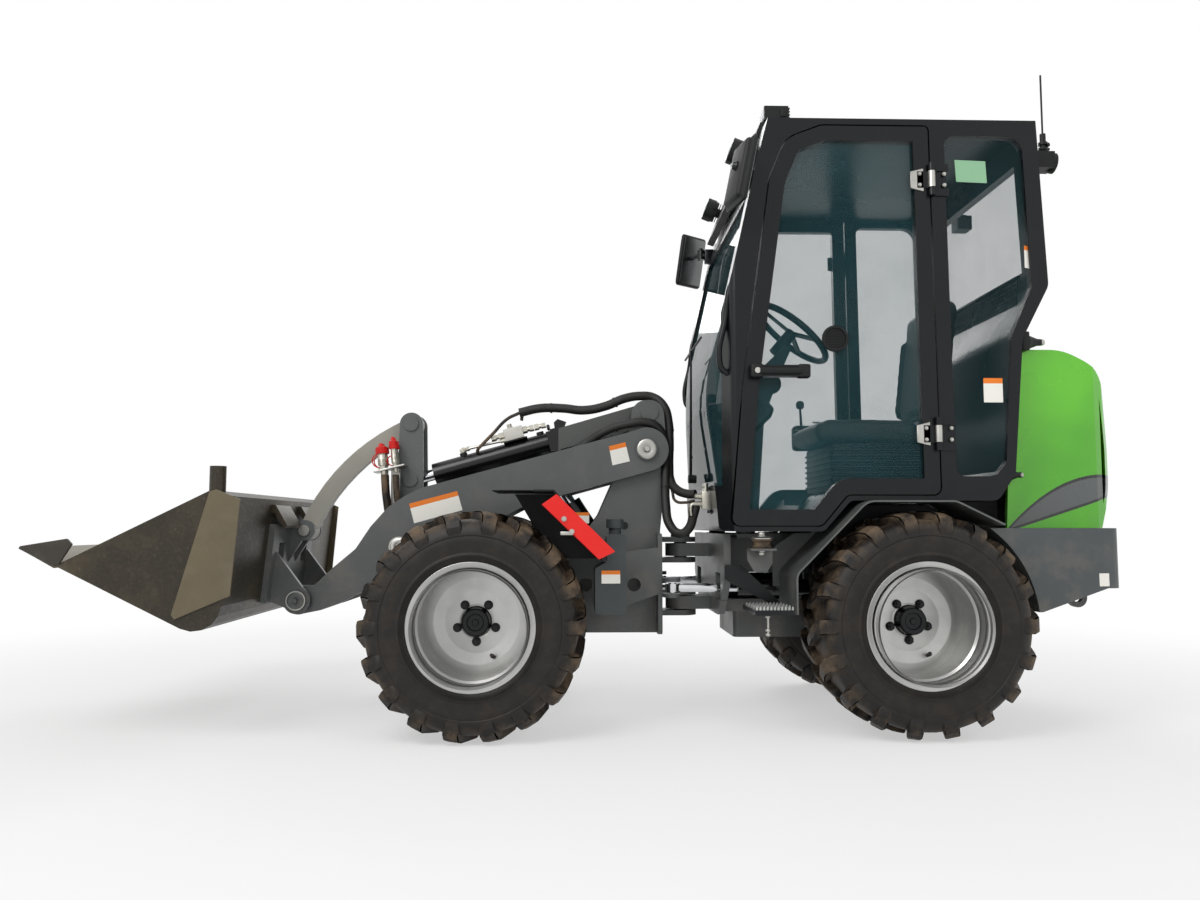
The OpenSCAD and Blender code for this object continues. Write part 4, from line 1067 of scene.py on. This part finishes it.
fitted("coupling_plate", bm, pin_zinc, "boom")
for i, (x, y) in enumerate(((1156, 128), (1112, 128), (1156, 92))):
    hose(f"coupling_hose_{i}", [(x - 2, y, 915), (x - 4, y, 880), (x - 10, y - 2, 820),
                                (x - 24, y - 6, 750), (x - 60, y - 10, 690)],
         24, "boom", material=hose_black)
print("couplings", len(couplings))

# %% [markdown]
# Plates and labels. The red flap beside the front wheel is sheet steel on two hinge screws. The
# labels are thin vinyl rectangles, most with a coloured head, left blank. Those on the boom
# follow its slope, so each label is drawn as an outline in the side view and given half a
# millimetre of thickness.

# %% Flap and blank labels
bm = bmesh.new()
sheet_metal(bm, [(533, 790), (483, 825), (287, 633), (342, 607)], 620, 626, 2)
fitted("red_flap", bm, flag_red, "front_frame", smooth=20)
bm = bmesh.new()
for x, z in ((458, 742), (432, 700)):
    hexagon(bm, at(x, 626, z), (0, 1, 0), 13, 6)
brick(bm, at(392, 560, 688), at(470, 622, 700), 2)
fitted("flap_screws", bm, pin_zinc, "front_frame")
label_thickness, head_thickness = 0.5, 0.6


def label(name, corners, y, body, head):
    """A blank label: corners run clockwise from the front upper one, as seen from the left."""
    a, b, c, d = [Vector(p) for p in corners]
    cut_b, cut_a = b.lerp(c, head), a.lerp(d, head)
    bm = bmesh.new()
    sheet_metal(bm, [cut_a, cut_b, c, d], y, y + label_thickness)
    fitted(name + "_sheet", bm, blank_label, body, smooth=0)
    if head:
        bm = bmesh.new()
        sheet_metal(bm, [a, b, cut_b, cut_a], y, y + head_thickness)
        fitted(name + "_head", bm, blank_amber, body, smooth=0)


labels = [
    ("boom_label", [(1046, 802), (866, 850), (845, 778), (1026, 728)], 190, "boom", 0.24),
    ("boom_root_label", [(292, 1021), (229, 1037), (212, 964), (278, 948)], 190, "boom", 0.24),
    ("tower_label", [(452, 770), (366, 770), (366, 728), (452, 728)], 151, "front_frame", 0.3),
    ("tank_label", [(330, 566), (266, 566), (266, 522), (330, 522)], 520, "front_frame", 0.3),
    ("pane_label", [(-1010, 1236), (-1078, 1236), (-1078, 1150), (-1010, 1150)], 533.2,
     "rear_frame", 0.22),
    ("pane_label_high", [(-1172, 1712), (-1226, 1700), (-1226, 1620), (-1172, 1632)], 533.2,
     "rear_frame", 0.2),
    ("weight_label", [(-1380, 556), (-1414, 556), (-1414, 512), (-1380, 512)], 560.2,
     "rear_frame", 0)]
for row in labels:
    label(*row)
bm = bmesh.new()
sheet_metal(bm, [(-931, 2022), (-1042, 2018), (-1046, 1938), (-935, 1942)], 533, 533.6)
fitted("pane_sticker", bm, sticker_green, smooth=0)
print("labels", len(labels), "and a sticker")

# %% [markdown]
# Seat. The driver's seat is a foam cushion and a foam back in grained cover with a pale welt.
# Foam bulges between its corners, and the quickest way to get that bulge is to inflate it: each
# pad is remeshed to an even net, blown up a little by the cloth solver and smoothed.

# %% Inflating a pad
net_size, foam_pressure, foam_frames = 0.0055, 4.0, 20


def inflated(name, bm, cap):
    """A padded piece; no point moves further than `cap`, in metres."""
    rough_mesh = made_object(name + "_cage", bm)
    remesh = rough_mesh.modifiers.new("net", "REMESH")
    remesh.mode, remesh.voxel_size = "VOXEL", net_size
    mesh = bpy.data.meshes.new_from_object(
        rough_mesh.evaluated_get(bpy.context.evaluated_depsgraph_get()))
    bpy.data.objects.remove(rough_mesh)
    pad = bpy.data.objects.new(name, mesh)
    bpy.context.scene.collection.objects.link(pad)
    cloth = pad.modifiers.new("foam", "CLOTH")
    cloth.settings.use_pressure = True
    cloth.settings.uniform_pressure_force = foam_pressure
    cloth.settings.effector_weights.gravity = 0.0
    cloth.point_cache.frame_start, cloth.point_cache.frame_end = 1, foam_frames
    rest = [v.co.copy() for v in mesh.vertices]
    for step in range(1, foam_frames + 1):
        bpy.context.scene.frame_set(step)
    blown = pad.evaluated_get(bpy.context.evaluated_depsgraph_get()).to_mesh()
    for vert, was, now in zip(mesh.vertices, rest, [v.co.copy() for v in blown.vertices]):
        move = now - was
        vert.co = was + move * min(1.0, cap / max(move.length, 1e-9))
    pad.modifiers.clear()
    bpy.context.scene.frame_set(1)
    bm = bmesh.new()
    bm.from_mesh(mesh)
    for _ in range(3):
        bmesh.ops.smooth_vert(bm, verts=bm.verts, factor=0.5, use_axis_x=True, use_axis_y=True,
                              use_axis_z=True)
    bm.to_mesh(mesh)
    bm.free()
    mesh.materials.append(seat_black)
    mesh.shade_smooth()
    smooth = pad.modifiers.new("soften", "SUBSURF")
    smooth.levels = smooth.render_levels = 1
    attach(pad, "rear_frame")
    return pad


# %% Seat pads
bm = bmesh.new()
brick(bm, at(-930, -214, 1040), at(-494, 214, 1106), 26, turn_by(-3), 4)
for y in (186, -186):
    brick(bm, at(-900, y - 26, 1066), at(-520, y + 26, 1122), 22, segments=4)
cushion = inflated("seat_cushion", bm, 0.008)
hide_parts("seat")
bm = bmesh.new()
lean_back = turn_by(-7)
brick(bm, at(-1048, -196, 1140), at(-978, 196, 1610), 30, lean_back, 4)
for y in (176, -176):
    brick(bm, at(-1016, y - 24, 1160), at(-954, y + 24, 1500), 22, lean_back, 4)
inflated("seat_back", bm, 0.008)
bm = bmesh.new()
brick(bm, at(-1072, -120, 1622), at(-1022, 120, 1690), 20, lean_back, 4)
inflated("head_rest", bm, 0.005)
print("cushion size", [round(v, 3) for v in cushion.dimensions])

# %% Welts, plinth and console
welts = {"seat_welt_": [(-500, 160, 1118), (-620, 161, 1116), (-780, 161, 1108),
                        (-900, 160, 1102)],
         "back_welt_": [(-966, 152, 1170), (-976, 153, 1300), (-994, 153, 1440),
                        (-1004, 150, 1530)]}
for word, side in sides.items():
    for name, path in welts.items():
        swept(name + word, [at(x, side * y, z) for x, y, z in path], 7, seat_piping)
bm = bmesh.new()
brick(bm, at(-940, -200, 842), at(-560, 200, 1036), 14, segments=3)
for z in range(870, 1010, 22):
    brick(bm, at(-944, -204, z), at(-556, 204, z + 10), 4)
bar(bm, at(-1046, 0, 1600), at(-1052, 0, 1640), 20, 16)
fitted("seat_plinth", bm, grained_black)
bm = bmesh.new()
brick(bm, at(-800, -300, 1040), at(-520, -238, 1150), 18, segments=3)
bar(bm, at(-560, -270, 1150), at(-556, -270, 1226), 12, 16, 9)
turned(bm, [(0, 0), (0, 9), (6, 16), (22, 18), (34, 12), (38, 0)], at(-556, -270, 1222),
       (0, 0, 1), 24)
fitted("side_console", bm, grained_grey)
print("welts", 2 * len(welts))

# %% [markdown]
# Front of the cab. Below the windscreen's clear part a black cowl fills the opening, with the
# louvres of the heater in it. A grid takes the bend of the cab's front, and solidify gives it a
# thickness inwards. Behind the panes sits the dash.

# %% Cowl and louvres
cowl_inset = 16


def front_face(y, z):
    """Where the cab's front surface lies, at a width and a height."""
    slope = (z - 826) * 35 / 424
    back = max(0.0, (abs(y) - 270) * 0.236)
    return -80 + slope - back


bm = bmesh.new()
bmesh.ops.create_grid(bm, x_segments=24, y_segments=10, size=1)
for vert in bm.verts:
    y, z = vert.co.x * 452, 1020 + vert.co.y * 140
    vert.co = at(front_face(y, z) - cowl_inset, y, z)
bmesh.ops.recalc_face_normals(bm, faces=bm.faces)
if sum(f.normal.x for f in bm.faces) < 0:
    bmesh.ops.reverse_faces(bm, faces=bm.faces)
bmesh.ops.solidify(bm, geom=bm.faces[:], thickness=0.006)
fitted("front_cowl", bm, cowl_black)
bm = bmesh.new()
for side in sides.values():
    for z in range(1036, 1141, 13):
        y, x = side * 300, front_face(side * 300, z)
        brick(bm, at(x - 18, y - 46, z - 3), at(x - 9, y + 46, z + 3), 1.5, turn_by(24), 1)
    for y in (side * 250, side * 350):
        for z0, z1 in ((1026, 1086), (1086, 1150)):
            x = front_face(y, (z0 + z1) / 2)
            brick(bm, at(x - 19, y - 4, z0), at(x - 10, y + 4, z1), 1, turn_by(4.7), 1)
for y in (-200, 200):
    for z in (905, 1010):
        hexagon(bm, at(front_face(y, z) - cowl_inset, y, z), (1, 0, 0), 13, 5)
fitted("cowl_louvres", bm, satin_black, slot="black_plastic")
bm = bmesh.new()
sheet_metal(bm, [(-118, 1150), (-118, 1000), (-170, 1000), (-300, 1120), (-300, 1160),
                 (-170, 1190)], -400, 400, 14)
fitted("dash", bm, grained_black)
print("cab front at", [round(front_face(y, 1020)) for y in (0, 450)], "mm, middle and corner")

# %% [markdown]
# Back of the cab. A wire guard of crossed bars stands inside the rear pane. The hood closes
# against two rubber stops and two latches with plated pins, and two tail lamps are let into the
# counterweight.

# %% Guard, roof knob and rear details
guard_low, guard_high, guard_x, guard_lean = 1400, 1620, -1178, 18
bm = bmesh.new()
for i in range(58):
    y = -427 + i * 15
    bar(bm, at(guard_x, y, guard_low), at(guard_x - guard_lean, y, guard_high), 3, 6)
for i in range(15):
    z = 1402 + i * 15.5
    x = guard_x + 3 - (z - guard_low) * guard_lean / (guard_high - guard_low)
    bar(bm, at(x, -430, z), at(x, 430, z), 3, 6)
brick(bm, at(-1184, -436, 1390), at(-1172, 436, 1402), 2)
brick(bm, at(-1202, -436, 1618), at(-1190, 436, 1630), 2)
fitted("rear_guard", bm, satin_black)
bm = bmesh.new()
turned(bm, [(0, 0), (0, 16), (6, 17), (10, 12), (26, 10), (34, 13), (40, 10), (40, 0)],
       at(-929, 0, roof_top - 14), (0, 0, 1))
fitted("roof_knob", bm, grained_black)
for word, side in sides.items():
    for name, x, z, size in (("hood_stop_", -1192, 1376, 1.0), ("hood_latch_", -1112, 899, 0.8)):
        bm = bmesh.new()
        centre = at(x, side * 470, z)
        turned(bm, [(0, 0), (0, 27 * size), (8, 29 * size), (16, 24 * size),
                    (44 * size, 13 * size), (58 * size, 12 * size), (58 * size, 0)],
               centre, (-1, 0, 0))
        brick(bm, centre + Vector((-0.004, -0.034, -0.034)) * size,
              centre + Vector((0.022, 0.034, 0.034)) * size, 4)
        fitted(name + word, bm, grained_black)
        bm = bmesh.new()
        turned(bm, [(56 * size, 0), (56 * size, 9), (62 * size, 12), (70 * size, 9),
                    (73 * size, 0)], centre, (-1, 0, 0), 24)
        fitted(name + "pin_" + word, bm, pin_zinc)
    bm = bmesh.new()
    brick(bm, at(-1486, side * 372 - 62, 610), at(-1470, side * 372 + 62, 668), 5)
    fitted("tail_lamp_" + word, bm, lamp_red)
print("guard bars", 58 + 15)

# %% [markdown]
# Steps. A driver climbs on galvanised grip tread: a channel whose lips are cut into teeth. The
# teeth are one zigzag outline cut from plate, repeated across the step.

# %% Grip treads
step_x0, step_x1, step_top, tooth_count, lip = -307, -175, 440, 11, 2
tooth_pitch = (step_x1 - step_x0) / tooth_count
teeth = [(step_x0, step_top)]
for i in range(tooth_count):
    for along, up in ((2, 0), (4, 12), (8, 12), (10, 0)):
        teeth.append((step_x0 + tooth_pitch * i + along, step_top + up))
teeth += [(step_x1, step_top), (step_x1, step_top - lip), (step_x0, step_top - lip)]
for word, side in sides.items():
    bm = bmesh.new()
    for y in (636, 590, 545, 500, 455):
        sheet_metal(bm, teeth, side * y, side * (y - 4))
    fitted("grip_tread_" + word, bm, zinc_tread)
print("steps span", [round(v) for v in (step_x0, step_x1, step_top)])

# %% [markdown]
# Between frame and cab. The cab stands on a rubber mount on each side: a bracket, a waisted
# rubber between washers, and a bolt through all of it. In front of it, a liner closes the gap
# between the tower and the front fender.

# %% Cab mounts and front liners
mount_x, mount_y, hanger_x, hanger_y = -218, 545, -226, 596
up, down = (0, 0, 1), (0, 0, -1)
for word, side in sides.items():
    y = side * mount_y
    bm = bmesh.new()
    brick(bm, at(-262, y - 40, 634), at(-174, y + 40, 642), 2)
    sheet_metal(bm, [(-262, 642), (-262, 590), (-244, 560), (-198, 560), (-174, 600),
                     (-174, 642)], side * 507, side * 513, 1)
    fitted("cab_mount_bracket_" + word, bm, frame_grey)
    bm = bmesh.new()
    turned(bm, [(0, 0), (0, 34), (5, 36), (12, 29), (20, 29), (27, 36), (32, 34), (32, 0)],
           at(mount_x, y, 642), up)
    fitted("cab_mount_rubber_" + word, bm, hose_black)
    bm = bmesh.new()
    turned(bm, [(0, 0), (0, 39), (3, 39), (8, 30), (9, 0)], at(mount_x, y, 674), up)
    hexagon(bm, at(mount_x, y, 683), up, 22, 10)
    hexagon(bm, at(mount_x, y, 634), down, 22, 12)
    bar(bm, at(hanger_x, side * hanger_y, 350), at(hanger_x, side * hanger_y, 424), 9, 12)
    for z in (352, 366, 412):
        hexagon(bm, at(hanger_x, side * hanger_y, z), up, 17, 8, washer=False)
    fitted("cab_mount_bolts_" + word, bm, pin_zinc)
    bm = bmesh.new()
    sheet_metal(bm, [(330, 600), (330, 640), (494, 834), (640, 834), (560, 700), (480, 600)],
                side * 322, side * 328, 1)
    brick(bm, at(492, side * 330, 835), at(700, side * 618, 840), 2)
    fitted("fender_liner_" + word, bm, grained_black, "front_frame")
bm = bmesh.new()
sheet_metal(bm, [(-1034, 800), (-1034, 846), (-420, 846), (-420, 800)], -6, 6, 1)
fitted("cab_floor_seal", bm, grained_black)
print("cab mounts", len(sides))

# %% [markdown]
# Wear plates and covers. The bucket's sides carry a bronze wear plate and a cheek behind the
# cutting edge. Liners close the rear wheel arches, plugs close the holes in the tower, and one
# round lamp hangs behind the cab's roof.

# %% Bucket plates, arch liners, plugs and the rear lamp
cheek = [(1616, 831), (1594, 838), (1516, 806), (1540, 492), (1716, 417), (1727, 432)]
edge_cheek = [(2214, 654), (2066, 678), (2049, 660), (2088, 596), (2110, 590), (2219, 646)]
arch = [(-1030, 700), (-876, 794), (-573, 794), (-420, 640), (-420, 560), (-1030, 560)]
plates = [("bucket_cheek_", cheek, 650, 657, 1, worn_bronze, "attachment", 20),
          ("edge_cheek_", edge_cheek, 650, 662, 2, edge_steel, "attachment", 20),
          ("arch_liner_", arch, 333, 337, 1, grained_black, "rear_frame", 35)]
for word, side in sides.items():
    for name, outline, y0, y1, radius, finish, body, smooth in plates:
        bm = bmesh.new()
        sheet_metal(bm, outline, side * y0, side * y1, radius)
        fitted(name + word, bm, finish, body, smooth=smooth)
    bm = bmesh.new()
    turned(bm, [(-2, 0), (-2, 13), (0, 15), (1, 15), (1, 0)], at(231, side * 151, 719),
           (0, side, 0))
    fitted("tower_plug_" + word, bm, grained_black, "front_frame")
bm = bmesh.new()
turned(bm, [(-30, 0), (-30, 20), (-6, 37), (10, 38), (12, 34), (8, 30), (8, 0)],
       at(-1366, 370, 2078), (-1, 0, -0.1))
for z in (2132, 2152):
    turned(bm, [(-5, 11), (-5, 17), (5, 17), (5, 11)], at(-1338, 370, z), up, 24)
    brick(bm, at(-1362, 364, z - 5), at(-1340, 376, z + 5), 2)
bar(bm, at(-1352, 352, 2142), at(-1352, 388, 2142), 10, 12)
fitted("rear_lamp_round", bm, grained_black)
print("plates on both sides", 2 * len(plates))
